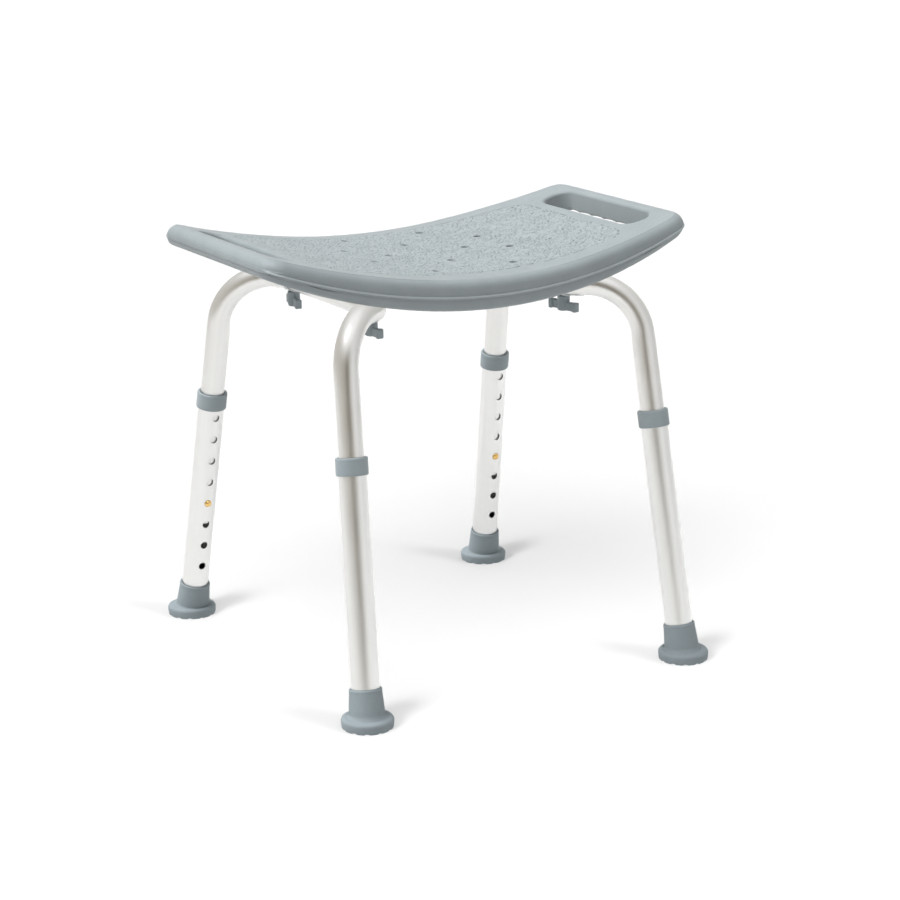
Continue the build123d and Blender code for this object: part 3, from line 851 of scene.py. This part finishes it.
def make_foot(sx, sy):
    """Rubber foot: level sole, socket leaning with the leg, one surface, with a ribbed underside."""
    n = 128
    a = 2 * math.pi * np.arange(n) / n
    o, ax = leg_axes(sx, sy)
    m = Mesh()

    def level(r, z, lift=None):
        zz = np.full(n, float(z)) if lift is None else z + lift
        return np.column_stack([o[0] + r * np.cos(a), o[1] + r * np.sin(a), zz])

    def leaning(r, t, f):
        c = o + ax[2] * t
        up = np.array([0, 0, 1.0]) * (1 - f) + ax[2] * f
        up /= np.linalg.norm(up)
        e1 = np.array([1.0, 0, 0]) - up * up[0]
        e1 /= np.linalg.norm(e1)
        e2 = np.cross(up, e1)
        return c + r * (np.cos(a)[:, None] * e1 + np.sin(a)[:, None] * e2)

    notch = 0.5 + 0.5 * np.cos(a * 12)
    notch = np.clip((notch - 0.72) / 0.16, 0, 1)
    rings = []
    # inside of the socket, up from the plate
    rings += [leaning(14.34, 9.0, 1), leaning(14.34, 24.0, 1), leaning(14.36, 36.9, 1)]
    rings += [leaning(14.55, 37.9, 1), leaning(14.95, 38.4, 1), leaning(15.5, 38.5, 1), leaning(16.1, 38.2, 1),
              leaning(16.55, 37.5, 1), leaning(16.72, 36.5, 1), leaning(16.66, 35.3, 1), leaning(16.62, 34.4, 1)]
    for k in range(1, 9):
        t = 34.4 - (34.4 - 15.0) * k / 8
        rings.append(leaning(16.62 + (18.15 - 16.62) * k / 8, t, 1))
    # fillet into the sole, coming level
    for k in range(1, 8):
        w = k / 7
        ang = math.radians(180 + 90 * w)
        rings.append(leaning(21.0 + 2.85 * math.cos(ang), 14.0 + 2.9 * math.sin(ang) - 0.1 * w, 1 - w))
    rings += [level(22.0, 10.92), level(22.9, 10.72)]
    for k in range(0, 7):
        ang = math.radians(80 - 80 * k / 6)
        rings.append(level(23.2 + 3.3 * math.cos(ang), 7.35 + 3.3 * math.sin(ang)))
    rings += [level(26.45, 5.4), level(26.2, 3.2), level(26.0, 1.4)]
    rings += [level(25.85, 0.6, notch * 0.9), level(25.4, 0.1, notch * 1.25), level(24.6, 0.0, notch * 1.35), level(21.5, 0.0, notch * 1.35), level(20.3, 0.0, notch * 0.0)]
    for r0, r1 in ((15.5, 18.0), (9.0, 11.5)):
        rings += [level(r1 + 0.15, 0.0), level(r1, 0.2), level(r1 - 0.1, 1.15), level(r0 + 0.1, 1.15), level(r0, 0.2), level(r0 - 0.15, 0.0)]
    ids = []
    ln = 0.0
    for k, r in enumerate(rings):
        if k:
            ln += float(np.linalg.norm(r[0] - rings[k - 1][0]))
        ids.append(m.add(r, np.column_stack([a * 20.0, np.full(n, ln)])))
    for k in range(len(ids) - 1):
        m.quads(strip(ids[k + 1], ids[k], True), False)
    low = m.add([[o[0], o[1], 0.0]])
    m.tris(np.stack([np.full(n, low[0]), ids[-1], np.roll(ids[-1], -1)], 1), True)
    flo = m.add([o + ax[2] * 9.0])
    m.tris(np.stack([np.full(n, flo[0]), ids[0], np.roll(ids[0], -1)], 1))
    return m.arrays()


def make_button():
    """Snap button about local z, crown up."""
    z0, z1, r = 10.3, 16.8, 3.92
    p = [(0, z0), (3.4, z0), (3.75, z0 + 0.15), (3.92, z0 + 0.4), (3.92, z1 - 2.95)]
    p += corner(r - 2.9, z1 - 2.9, 2.9, 8, 84, 9)
    p += [(0.6, z1 - 0.005), (0, z1)]
    co, q, t, uv = lathe_solid(p, 48)
    # local z of the button points along local x of the leg
    return np.column_stack([co[:, 2], -co[:, 1], co[:, 0] + BUTTON_T]), q, t, uv


def make_stud():
    """M6 stud with a rolled thread."""
    n, pitch, r = 28, 1.0, 2.99
    a = 2 * math.pi * np.arange(n) / n
    z0, z1 = 368.0, 418.0
    m = Mesh()
    zs = np.arange(z0 + 0.02, z1 - 0.01, 0.125)
    first = m.add([[0, 0, z0]])
    prev = None
    for z in zs:
        ph = (z / pitch - a / (2 * math.pi)) % 1.0
        depth = 0.42 * np.abs(2 * ph - 1) ** 1.2
        taper = min(1.0, (z1 - z) / 1.0, (z - z0) / 0.6 + 0.3)
        rr = (r - depth) * (0.82 + 0.18 * taper) if taper < 1 else r - depth
        cur = m.add(np.column_stack([rr * np.cos(a), rr * np.sin(a), np.full(n, z)]))
        if prev is None:
            m.tris(np.stack([np.full(n, first[0]), np.roll(cur, -1), cur], 1))
        else:
            m.quads(strip(prev, cur))
        prev = cur
    end = m.add([[0, 0, z1]])
    m.tris(np.stack([np.full(n, end[0]), prev, np.roll(prev, -1)], 1))
    return m.arrays()


def make_washer():
    """Saddle washer for the back-right knob: a plate bent round the underside of the tube, with a hole for the stud."""
    r0, r1, wrap_a, ln = 12.85, 14.05, math.radians(52), 17.0
    path = FRAME_PATH
    s = np.concatenate([[0], np.cumsum(np.linalg.norm(np.diff(path, axis=0), axis=1))])
    top = path[:, 2] > 393.0
    yy, ss = path[top][:, 1], s[top]
    order = np.argsort(yy)
    s_knob = float(np.interp(KNOB_Y, yy[order], ss[order]))
    hw = r1 * math.sin(wrap_a)
    outer, _ = slot_outline(0.0, 2 * hw, ln, 6.5, 0.8)
    k = 2 * math.pi * np.arange(28) / 28
    hole = np.column_stack([3.4 * np.cos(k), 3.4 * np.sin(k)])
    lip = 0.3
    big = outer * (1 - lip / hw)
    pts, q, t = fill_region([big, hole * 1.08], 0.9)
    nb = len(big)

    def place(p, r):
        # p[:, 0]: across the tube, p[:, 1]: along it
        sd = np.clip(p[:, 0] / r1, -1, 1)
        al = np.arcsin(sd)
        sp = s_knob - p[:, 1]
        c = np.column_stack([np.interp(sp, s, path[:, i]) for i in range(3)])
        d = np.column_stack([np.interp(sp + 0.8, s, path[:, i]) - np.interp(sp - 0.8, s, path[:, i]) for i in range(3)])
        d /= np.linalg.norm(d, axis=1)[:, None]
        down = np.array([0, 0, -1.0]) - d * (-d[:, 2:3])
        down /= np.linalg.norm(down, axis=1)[:, None]
        side = np.cross(down, d)
        return c + r * (np.cos(al)[:, None] * down + np.sin(al)[:, None] * side)

    m = Mesh()
    o = m.add(place(pts, r1), pts)
    m.quads(o[q])
    m.tris(o[t])
    i = m.add(place(pts, r0), pts)
    m.quads(i[q], True)
    m.tris(i[t], True)
    rim = np.arange(nb)
    prev = o[rim]
    for r in (r1 - 0.2, r0 + 0.2):
        cur = m.add(place(outer, r), outer)
        m.quads(strip(cur, prev))
        prev = cur
    m.quads(strip(i[rim], prev))
    hr = np.arange(nb, nb + len(hole))
    prev = o[hr]
    for r in (r1 - 0.25, r0 + 0.25):
        cur = m.add(place(hole, r), hole)
        m.quads(strip(prev, cur))
        prev = cur
    m.quads(strip(prev, i[hr]))
    return m.arrays()


# ------------------------------------------------------------------ wing knob
def rounded_box(bm, lo, hi, bevel, rot=0.0):
    """Adds a box with rounded edges to bm; rot turns it about z through the origin, in degrees."""
    lo, hi = Vector(lo), Vector(hi)
    made = bmesh.ops.create_cube(bm, size=1.0)["verts"]
    for v in made:
        v.co = Vector([(lo[i] + hi[i]) / 2 + v.co[i] * (hi[i] - lo[i]) for i in range(3)])
    edges = list({e for v in made for e in v.link_edges})
    out = bmesh.ops.bevel(bm, geom=edges, offset=bevel, segments=3, profile=0.5, affect="EDGES", clamp_overlap=True)
    verts = {v for f in out["faces"] for v in f.verts}
    grown = set(verts)
    for v in verts:
        for e in v.link_edges:
            grown.update(e.verts)
    if rot:
        r = Matrix.Rotation(math.radians(rot), 3, "Z")
        for v in grown:
            v.co = r @ v.co


def make_knob_head():
    """Wing knob about its stud axis at the origin, as one smooth moulding."""
    z0, z1 = 364.0, 379.85
    bm = bmesh.new()
    prof = [(0, z0), (5.0, z0), (5.9, z0 + 0.35), (6.45, z0 + 1.2), (6.55, z0 + 2.5), (6.55, z1 - 1.4), (6.75, z1 - 1.1), (6.75, z1 - 0.25), (6.5, z1), (0, z1)]
    co, q, t, uv = lathe_solid(prof, 48)
    vs = [bm.verts.new(c) for c in co]
    for f in list(q) + list(t):
        try:
            bm.faces.new([vs[i] for i in f])
        except ValueError:
            pass
    zb, zt = 364.2, 374.0
    for s in (-1, 1):
        def bx(x0, x1, y0, y1, za, zc, bv):
            xa, xb = sorted((s * x0, s * x1))
            ya, yb = sorted((-s * y0, -s * y1))
            rounded_box(bm, (xa, ya, za), (xb, yb, zc), bv)
        bx(0.0, 17.0, -0.4, 3.2, zb + 0.4, zt - 0.6, 0.6)
        bx(15.2, 20.0, -2.6, 4.4, zb, zt, 0.9)
        # web brace up the hub
        bx(3.0, 8.6, 0.2, 2.6, zt - 4.0, zt + 1.6, 0.8)
        # grip ribs across both faces and the top of the end block
        for k in range(4):
            x = 11.6 + 2.3 * k
            bx(x - 0.55, x + 0.55, -0.2 if k < 2 else -1.8, 3.0 if k < 2 else 3.6, zt - 1.6, zt + 0.3, 0.35)
    for v in bm.verts:
        v.co = v.co * 0.001
    bmesh.ops.recalc_face_normals(bm, faces=bm.faces)
    me = bpy.data.meshes.new("knob_raw")
    bm.to_mesh(me)
    bm.free()
    ob = bpy.data.objects.new("knob_raw", me)
    scene.collection.objects.link(ob)
    mod = ob.modifiers.new("r", "REMESH")
    mod.mode = "VOXEL"
    mod.voxel_size = 0.00027
    sm = ob.modifiers.new("s", "SMOOTH")
    sm.factor = 0.5
    sm.iterations = 2
    bpy.context.view_layer.update()
    dg = bpy.context.evaluated_depsgraph_get()
    done = bpy.data.meshes.new_from_object(ob.evaluated_get(dg))
    n = len(done.vertices)
    co = np.zeros(n * 3, np.float32)
    done.vertices.foreach_get("co", co)
    lt = np.zeros(len(done.polygons), np.int32)
    done.polygons.foreach_get("loop_total", lt)
    vi = np.zeros(len(done.loops), np.int32)
    done.loops.foreach_get("vertex_index", vi)
    ends = np.cumsum(lt)
    starts = ends - lt
    q = np.array([vi[s:s + 4] for s, c in zip(starts, lt) if c == 4])
    t = np.array([vi[s:s + 3] for s, c in zip(starts, lt) if c == 3])
    bpy.data.objects.remove(ob)
    return co.reshape(-1, 3).astype(float) * 1000, q, t


# ------------------------------------------------------------------ materials
class Nodes:
    """Short names for building a material's nodes."""

    def __init__(self, name, rough, metal=0.0, spec=0.5):
        self.m = bpy.data.materials.new(name)
        self.m.use_nodes = True
        self.t = self.m.node_tree
        self.b = self.t.nodes["Principled BSDF"]
        self.b.inputs["Roughness"].default_value = rough
        self.b.inputs["Metallic"].default_value = metal
        self.b.inputs["Specular IOR Level"].default_value = spec
        self.obj = self.node("ShaderNodeTexCoord").outputs["Object"]

    def node(self, kind, **kw):
        n = self.t.nodes.new(kind)
        for k, v in kw.items():
            setattr(n, k, v)
        return n

    def link(self, a, b):
        self.t.links.new(a, b)

    def mapped(self, source, scale):
        n = self.node("ShaderNodeMapping")
        n.inputs["Scale"].default_value = scale
        self.link(source, n.inputs["Vector"])
        return n.outputs["Vector"]

    def noise(self, source, scale, detail=3.0, rough=0.55):
        n = self.node("ShaderNodeTexNoise")
        n.inputs["Scale"].default_value = scale
        n.inputs["Detail"].default_value = detail
        n.inputs["Roughness"].default_value = rough
        self.link(source, n.inputs["Vector"])
        return n.outputs["Fac"]

    def attribute(self, name):
        return self.node("ShaderNodeAttribute", attribute_name=name).outputs["Fac"]

    def ranged(self, value, a, b, c, d):
        n = self.node("ShaderNodeMapRange")
        for i, v in enumerate((a, b, c, d)):
            n.inputs[i + 1].default_value = v
        self.link(value, n.inputs[0])
        return n.outputs[0]

    def math(self, op, a, b):
        n = self.node("ShaderNodeMath", operation=op)
        for i, v in enumerate((a, b)):
            if isinstance(v, (int, float)):
                n.inputs[i].default_value = v
            else:
                self.link(v, n.inputs[i])
        return n.outputs[0]

    def mix(self, fac, ca, cb):
        n = self.node("ShaderNodeMix", data_type="RGBA")
        if isinstance(fac, (int, float)):
            n.inputs["Factor"].default_value = fac
        else:
            self.link(fac, n.inputs["Factor"])
        for sock, c in ((n.inputs[6], ca), (n.inputs[7], cb)):
            if isinstance(c, tuple):
                sock.default_value = (*c, 1)
            else:
                self.link(c, sock)
        return n.outputs[2]

    def bump(self, height, distance, strength=1.0, after=None):
        n = self.node("ShaderNodeBump")
        n.inputs["Strength"].default_value = strength
        n.inputs["Distance"].default_value = distance
        self.link(height, n.inputs["Height"])
        if after is not None:
            self.link(after, n.inputs["Normal"])
        return n.outputs["Normal"]

    def done(self, color=None, rough=None, normal=None):
        if color is not None:
            self.link(color, self.b.inputs["Base Color"])
        if rough is not None:
            self.link(rough, self.b.inputs["Roughness"])
        if normal is not None:
            self.link(normal, self.b.inputs["Normal"])
        return self.m


def plastic(name, dark, light, rough, grain, spec=0.5, paint_crease_shade=False):
    """Moulded plastic: faint mottling and a fine matte grain. With the crease option, painted shade darkens the creases
    and a painted highlight lightens the ridges.
    """
    k = Nodes(name, rough, 0.0, spec)
    cloud = k.noise(k.obj, 34.0, 4.0)
    fleck = k.noise(k.obj, 900.0, 3.0)
    fac = k.ranged(k.math("ADD", k.math("MULTIPLY", cloud, 0.65), k.math("MULTIPLY", fleck, 0.35)), 0.35, 0.65, 0.0, 1.0)
    col = k.mix(fac, dark, light)
    r = k.ranged(k.noise(k.obj, 420.0, 2.0), 0.3, 0.7, rough - 0.05, rough + 0.06)
    coarse = k.noise(k.obj, 620.0, 2.0)
    fine = k.noise(k.obj, 2600.0, 2.0)
    if paint_crease_shade:
        # painted shade: the colour is darkened in the creases
        c = k.attribute("crease")
        col = k.mix(k.ranged(c, 0.36, 0.78, 0.0, 0.95), col, (dark[0] * 0.30, dark[1] * 0.31, dark[2] * 0.32))
        # painted highlight: the colour is lightened on the pebble tops and the seam bead
        col = k.mix(k.ranged(k.attribute("ridge_highlight"), 0.0, 1.0, 0.0, 0.5), col, (light[0] * 1.5, light[1] * 1.48, light[2] * 1.46))
    n = k.bump(coarse, grain, 0.55)
    n = k.bump(fine, grain * 0.35, 0.6, n)
    return k.done(col, r, n)


def drawn_tube(name, dark, light, rough):
    """Satin anodised tube: faint draw lines along it, and clouding. The walls of the holes are coloured dark as painted
    shade, and made rougher.
    """
    k = Nodes(name, rough, 1.0)
    uv = k.node("ShaderNodeUVMap", uv_map="mm").outputs["UV"]
    lines = k.noise(k.mapped(uv, (2600.0, 14.0, 1.0)), 1.0, 3.0)
    wide = k.noise(k.mapped(uv, (420.0, 5.0, 1.0)), 1.0, 2.0)
    cloud = k.noise(k.obj, 26.0, 3.0)
    fac = k.ranged(k.math("ADD", k.math("MULTIPLY", wide, 0.5), k.math("MULTIPLY", cloud, 0.5)), 0.30, 0.70, 0.0, 1.0)
    col = k.mix(fac, dark, light)
    r = k.ranged(k.math("ADD", k.math("MULTIPLY", lines, 0.6), k.math("MULTIPLY", cloud, 0.4)), 0.3, 0.7, rough - 0.03, rough + 0.04)
    # painted shade: the hole walls are coloured dark
    hole_shade = k.attribute("hole_shade")
    col = k.mix(hole_shade, col, (0.16, 0.155, 0.15))
    r = k.math("ADD", r, k.math("MULTIPLY", hole_shade, 0.15))
    n = k.bump(lines, 0.000012, 0.25)
    n = k.bump(k.noise(k.obj, 3400.0, 2.0), 0.00002, 0.3, n)
    return k.done(col, r, n)


def plain_metal(name, dark, light, rough, scale=300.0):
    k = Nodes(name, rough, 1.0)
    a = k.noise(k.obj, scale, 4.0)
    col = k.mix(k.ranged(a, 0.35, 0.65, 0.0, 1.0), dark, light)
    r = k.ranged(k.noise(k.obj, scale * 3, 3.0), 0.3, 0.7, rough - 0.06, rough + 0.08)
    return k.done(col, r, k.bump(a, 0.00004, 0.3))


seat_mat = plastic("seat_plastic", (0.166, 0.191, 0.200), (0.190, 0.216, 0.225), 0.42, 0.00014, 0.5, True)
moulded_mat = plastic("moulded_plastic", (0.182, 0.216, 0.231), (0.207, 0.243, 0.258), 0.42, 0.00006)
rubber_mat = plastic("foot_rubber", (0.160, 0.190, 0.204), (0.182, 0.214, 0.228), 0.62, 0.00012, 0.35)
washer_mat = plastic("washer_plastic", (0.50, 0.52, 0.53), (0.58, 0.60, 0.61), 0.38, 0.00005)
frame_mat = drawn_tube("frame_aluminium", (0.765, 0.76, 0.742), (0.80, 0.795, 0.78), 0.33)
leg_mat = drawn_tube("leg_aluminium", (0.79, 0.79, 0.775), (0.825, 0.825, 0.815), 0.33)
brass_mat = plain_metal("button_brass", (0.72, 0.46, 0.15), (0.86, 0.60, 0.24), 0.24)
insert_mat = plain_metal("insert_brass", (0.66, 0.46, 0.18), (0.76, 0.56, 0.26), 0.34)
zinc_mat = plain_metal("zinc_steel", (0.52, 0.53, 0.55), (0.68, 0.69, 0.71), 0.32)
spring_mat = plain_metal("spring_steel", (0.36, 0.37, 0.40), (0.52, 0.53, 0.56), 0.30)
plate_mat = plain_metal("plate_steel", (0.44, 0.44, 0.45), (0.58, 0.58, 0.59), 0.40)


# ------------------------------------------------------------------ camera
def place_camera():
    az, el, roll = math.radians(-29.939), math.radians(14.406), math.radians(-0.36)
    dist, focal_px = 2.740875, 2569.524
    eye = Vector((dist * math.sin(az) * math.cos(el), -dist * math.cos(az) * math.cos(el), dist * math.sin(el) + 0.25))
    target = Vector((0.025644, 0.0, 0.20477))
    fwd = (target - eye).normalized()
    right = fwd.cross(Vector((0, 0, 1))).normalized()
    up = right.cross(fwd)
    right2 = right * math.cos(roll) + up * math.sin(roll)
    up2 = up * math.cos(roll) - right * math.sin(roll)
    data = bpy.data.cameras.new("camera")
    cam = bpy.data.objects.new("camera", data)
    scene.collection.objects.link(cam)
    cam.matrix_world = Matrix(((right2.x, up2.x, -fwd.x, eye.x), (right2.y, up2.y, -fwd.y, eye.y),
                               (right2.z, up2.z, -fwd.z, eye.z), (0, 0, 0, 1)))
    data.sensor_fit = "HORIZONTAL"
    data.sensor_width = 36.0
    data.lens = 36.0 * focal_px / 900.0
    data.clip_start, data.clip_end = 0.05, 200
    scene.camera = cam


place_camera()

# ------------------------------------------------------------------ stage and light
BACK, FRONT = (0.82, 0.815, 0.80), (0.72, 0.71, 0.69)
BOX, BOX_DIR = (1.16, 1.16, 1.17), Vector((-0.35, -0.12, 0.93)).normalized()
scene.view_settings.view_transform = "Standard"
scene.view_settings.look = "None"

FLOOR = 60.0
floor_me = bpy.data.meshes.new("floor")
floor_me.from_pydata([(-FLOOR, -FLOOR, 0), (FLOOR, -FLOOR, 0), (FLOOR, FLOOR, 0), (-FLOOR, FLOOR, 0)], [], [(0, 1, 2, 3)])
floor = bpy.data.objects.new("floor", floor_me)
scene.collection.objects.link(floor)
k = Nodes("floor", 0.85, 0.0, 0.2)
floor.data.materials.append(k.done(k.mix(k.ranged(k.noise(k.obj, 3.0), 0.3, 0.7, 0.0, 1.0), (0.343, 0.343, 0.343), (0.350, 0.350, 0.350))))

world = bpy.data.worlds.new("world")
scene.world = world
world.use_nodes = True
wt = world.node_tree
bg = wt.nodes["Background"]
bg.inputs["Strength"].default_value = 1.0
geo = wt.nodes.new("ShaderNodeTexCoord")
sep = wt.nodes.new("ShaderNodeSeparateXYZ")
wt.links.new(geo.outputs["Generated"], sep.inputs[0])


def wmap(sock, a, b, c, d):
    n = wt.nodes.new("ShaderNodeMapRange")
    n.interpolation_type = "SMOOTHSTEP"
    for i, v in enumerate((a, b, c, d)):
        n.inputs[i + 1].default_value = v
    wt.links.new(sock, n.inputs[0])
    return n.outputs[0]


def wmix(fac, ca, cb):
    n = wt.nodes.new("ShaderNodeMix")
    n.data_type = "RGBA"
    wt.links.new(fac, n.inputs["Factor"])
    for sock, c in ((n.inputs[6], ca), (n.inputs[7], cb)):
        if isinstance(c, tuple):
            sock.default_value = (*c, 1)
        else:
            wt.links.new(c, sock)
    return n.outputs[2]


around = wmix(wmap(sep.outputs["Y"], -0.98, -0.75, 1.0, 0.0), BACK, FRONT)
dot = wt.nodes.new("ShaderNodeVectorMath")
dot.operation = "DOT_PRODUCT"
dot.inputs[1].default_value = BOX_DIR
wt.links.new(geo.outputs["Generated"], dot.inputs[0])
sky = wmix(wmap(dot.outputs["Value"], 0.50, 0.84, 0.0, 1.0), around, BOX)
wt.links.new(sky, bg.inputs["Color"])

# the dim room behind the camera, seen only in reflections, gives the front legs their soft brown line
ROOM = ((-150, 0.80, 0.80, 0.79), (-135, 0.72, 0.705, 0.67), (-118, 0.70, 0.68, 0.64), (-90, 0.63, 0.61, 0.565),
        (-60, 0.57, 0.55, 0.505), (-35, 0.48, 0.455, 0.40), (-15, 0.345, 0.32, 0.265), (-3, 0.15, 0.13, 0.09),
        (8, 0.09, 0.07, 0.04), (16, 0.28, 0.26, 0.21), (32, 0.67, 0.66, 0.62), (50, 0.90, 0.90, 0.90), (62, 0.84, 0.84, 0.84),
        (80, 0.70, 0.70, 0.70), (100, 0.63, 0.63, 0.62), (122, 0.70, 0.70, 0.69), (138, 0.82, 0.815, 0.80))
ROOM_R, ROOM_NA, ROOM_NZ = 2.2, 145, 22


def make_room():
    table = np.array(ROOM)
    th = np.linspace(table[0, 0], table[-1, 0], ROOM_NA)
    z = np.linspace(0.0, 2.6, ROOM_NZ)
    ang = np.radians(th - 119.94)
    co = np.array([(ROOM_R * math.cos(a), ROOM_R * math.sin(a), h) for h in z for a in ang])
    quads = [(j * ROOM_NA + i, j * ROOM_NA + i + 1, (j + 1) * ROOM_NA + i + 1, (j + 1) * ROOM_NA + i)
             for j in range(ROOM_NZ - 1) for i in range(ROOM_NA - 1)]
    tone = np.stack([np.interp(th, table[:, 0], table[:, c]) for c in (1, 2, 3)], 1)
    high = np.clip((z - 1.1) / 1.5, 0, 1)
    high = (high * high * (3 - 2 * high))[:, None, None]
    tone = tone[None] * (1 - high) + np.array(BACK)[None, None] * high
    me = bpy.data.meshes.new("room")
    me.from_pydata(co.tolist(), [], quads)
    att = me.attributes.new("tone", "FLOAT_COLOR", "POINT")
    att.data.foreach_set("color", np.concatenate([tone.reshape(-1, 3), np.ones((len(co), 1))], 1).astype(np.float32).ravel())
    ob = bpy.data.objects.new("room", me)
    scene.collection.objects.link(ob)
    m = bpy.data.materials.new("room")
    m.use_nodes = True
    t = m.node_tree
    t.nodes.clear()
    out = t.nodes.new("ShaderNodeOutputMaterial")
    em = t.nodes.new("ShaderNodeEmission")
    at = t.nodes.new("ShaderNodeAttribute")
    at.attribute_name = "tone"
    t.links.new(at.outputs["Color"], em.inputs["Color"])
    t.links.new(em.outputs[0], out.inputs["Surface"])
    me.materials.append(m)
    ob.visible_camera = ob.visible_diffuse = ob.visible_shadow = False


make_room()

only_floor = bpy.data.collections.new("floor_light")
only_floor.objects.link(floor)
not_floor = bpy.data.collections.new("object_light")
not_floor.objects.link(floor)
not_floor.collection_objects[0].light_linking.link_state = "EXCLUDE"


seat_shadow = bpy.data.collections.new("seat_shadow")
foot_shadow = bpy.data.collections.new("foot_shadow")


def soft_light(name, direction, power, angle, receivers, blockers=None):
    data = bpy.data.lights.new(name, "SUN")
    data.energy = power * math.pi
    data.angle = math.radians(angle)
    ob = bpy.data.objects.new(name, data)
    scene.collection.objects.link(ob)
    ob.rotation_euler = Vector(direction).to_track_quat("Z", "Y").to_euler()
    ob.visible_glossy = False
    ob.light_linking.receiver_collection = receivers
    if blockers is not None:
        ob.light_linking.blocker_collection = blockers
    return ob


soft_light("top", (-0.44, 0.24, 0.86), 1.62, 50.0, not_floor)
spark = soft_light("spark", (-0.36, 0.0, 0.93), 0.12, 9.0, not_floor)
spark.visible_glossy, spark.visible_diffuse = True, False
soft_light("side", (-0.60, -0.54, 0.70), 1.65, 49.0, only_floor, seat_shadow)
soft_light("left", (-0.830, -0.344, 0.438), 1.60, 20.0, only_floor, foot_shadow)
soft_light("right", (0.505, -0.761, 0.407), 0.875, 22.0, only_floor, foot_shadow)

# ------------------------------------------------------------------ pieces
for name, ob in nodes.items():
    ob.data.materials.clear()
    ob.data.materials.append(insert_mat if name.startswith("seat_insert") else
                             spring_mat if name.startswith("button_spring") else
                             plate_mat if name.startswith("foot_plate") else
                             zinc_mat)


def piece(name, arrays, mat, body, node, wrap=0.0, sharp=None, values=None):
    co, q, t = arrays[:3]
    uv = arrays[3] if len(arrays) > 3 else None
    ob = build_mesh(name, co, q, t, sharp, uv, wrap, values)
    ob.data.materials.append(mat)
    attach(ob, body)
    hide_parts(node)
    if node.startswith("rubber_foot"):
        foot_shadow.objects.link(ob)
    return ob


seat = make_seat()
seat_shadow.objects.link(seat)
seat.visible_glossy = False
seat.data.materials.append(seat_mat)
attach(seat, "seat")
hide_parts("seat_shell")

frame_arrays, frame_w = make_frame()
piece("frame_tube_right", frame_arrays, frame_mat, "seat", "right_leg_frame", frame_w, 50)
piece("frame_tube_left", mirrored(frame_arrays, 0), frame_mat, "seat", "left_leg_frame", frame_w, 50)

(leg_co, leg_q, leg_t, leg_uv), leg_w = make_lower_leg()
leg_r = np.hypot(leg_co[:, 0], leg_co[:, 1])
leg_hole_shade = ((leg_r > LEG_IN_R + 0.04) & (leg_r < LEG_R - 0.12)).astype(float)   # hole walls, coloured dark by the material as painted shade in the holes
col_co, col_q, col_t, col_uv = make_collar()
but_co, but_q, but_t, but_uv = make_button()
stud_co, stud_q, stud_t, stud_uv = make_stud()
was_co, was_q, was_t, was_uv = make_washer()
head_co, head_q, head_t = make_knob_head()
TURNS = {"back_left": 80.0, "front_left": 92.0, "front_right": 104.0, "back_right": 60.0}
for leg, (sx, sy) in LEGS.items():
    piece("leg_tube_" + leg, (on_leg(leg_co, sx, sy), leg_q, leg_t, leg_uv), leg_mat, "leg_" + leg, "lower_leg_" + leg,
          leg_w, 50, {"hole_shade": leg_hole_shade})
    piece("collar_" + leg, (on_leg(col_co, sx, sy), col_q, col_t, col_uv), moulded_mat, "leg_" + leg, "leg_collar_" + leg,
          0, 50)
    piece("foot_" + leg, make_foot(sx, sy), rubber_mat, "leg_" + leg, "rubber_foot_" + leg, 0, 50)
    piece("button_crown_" + leg, (on_leg(but_co, sx, sy), but_q, but_t, but_uv), brass_mat, "button_" + leg,
          "height_button_" + leg, 0, 40)
    flip = (sx < 0) != (sy < 0)
    f = np.array([sx, sy, 1])
    piece("saddle_" + leg, (was_co * f, was_q[:, ::-1] if flip else was_q, was_t[:, ::-1] if flip else was_t, was_uv),
          washer_mat, "washer_" + leg, "knob_washer_" + leg, 0, 50)
    at = np.array([sx * KNOB_X, sy * KNOB_Y, 0.0])
    c, s = math.cos(math.radians(TURNS[leg])), math.sin(math.radians(TURNS[leg]))
    rot = np.array([[c, s, 0], [-s, c, 0], [0, 0, 1]])
    piece("stud_" + leg, (stud_co + at, stud_q, stud_t), zinc_mat, "knob_" + leg, "knob_stud_" + leg)
    piece("knob_" + leg, (head_co @ rot + at, head_q, head_t), moulded_mat, "knob_" + leg, "knob_head_" + leg)
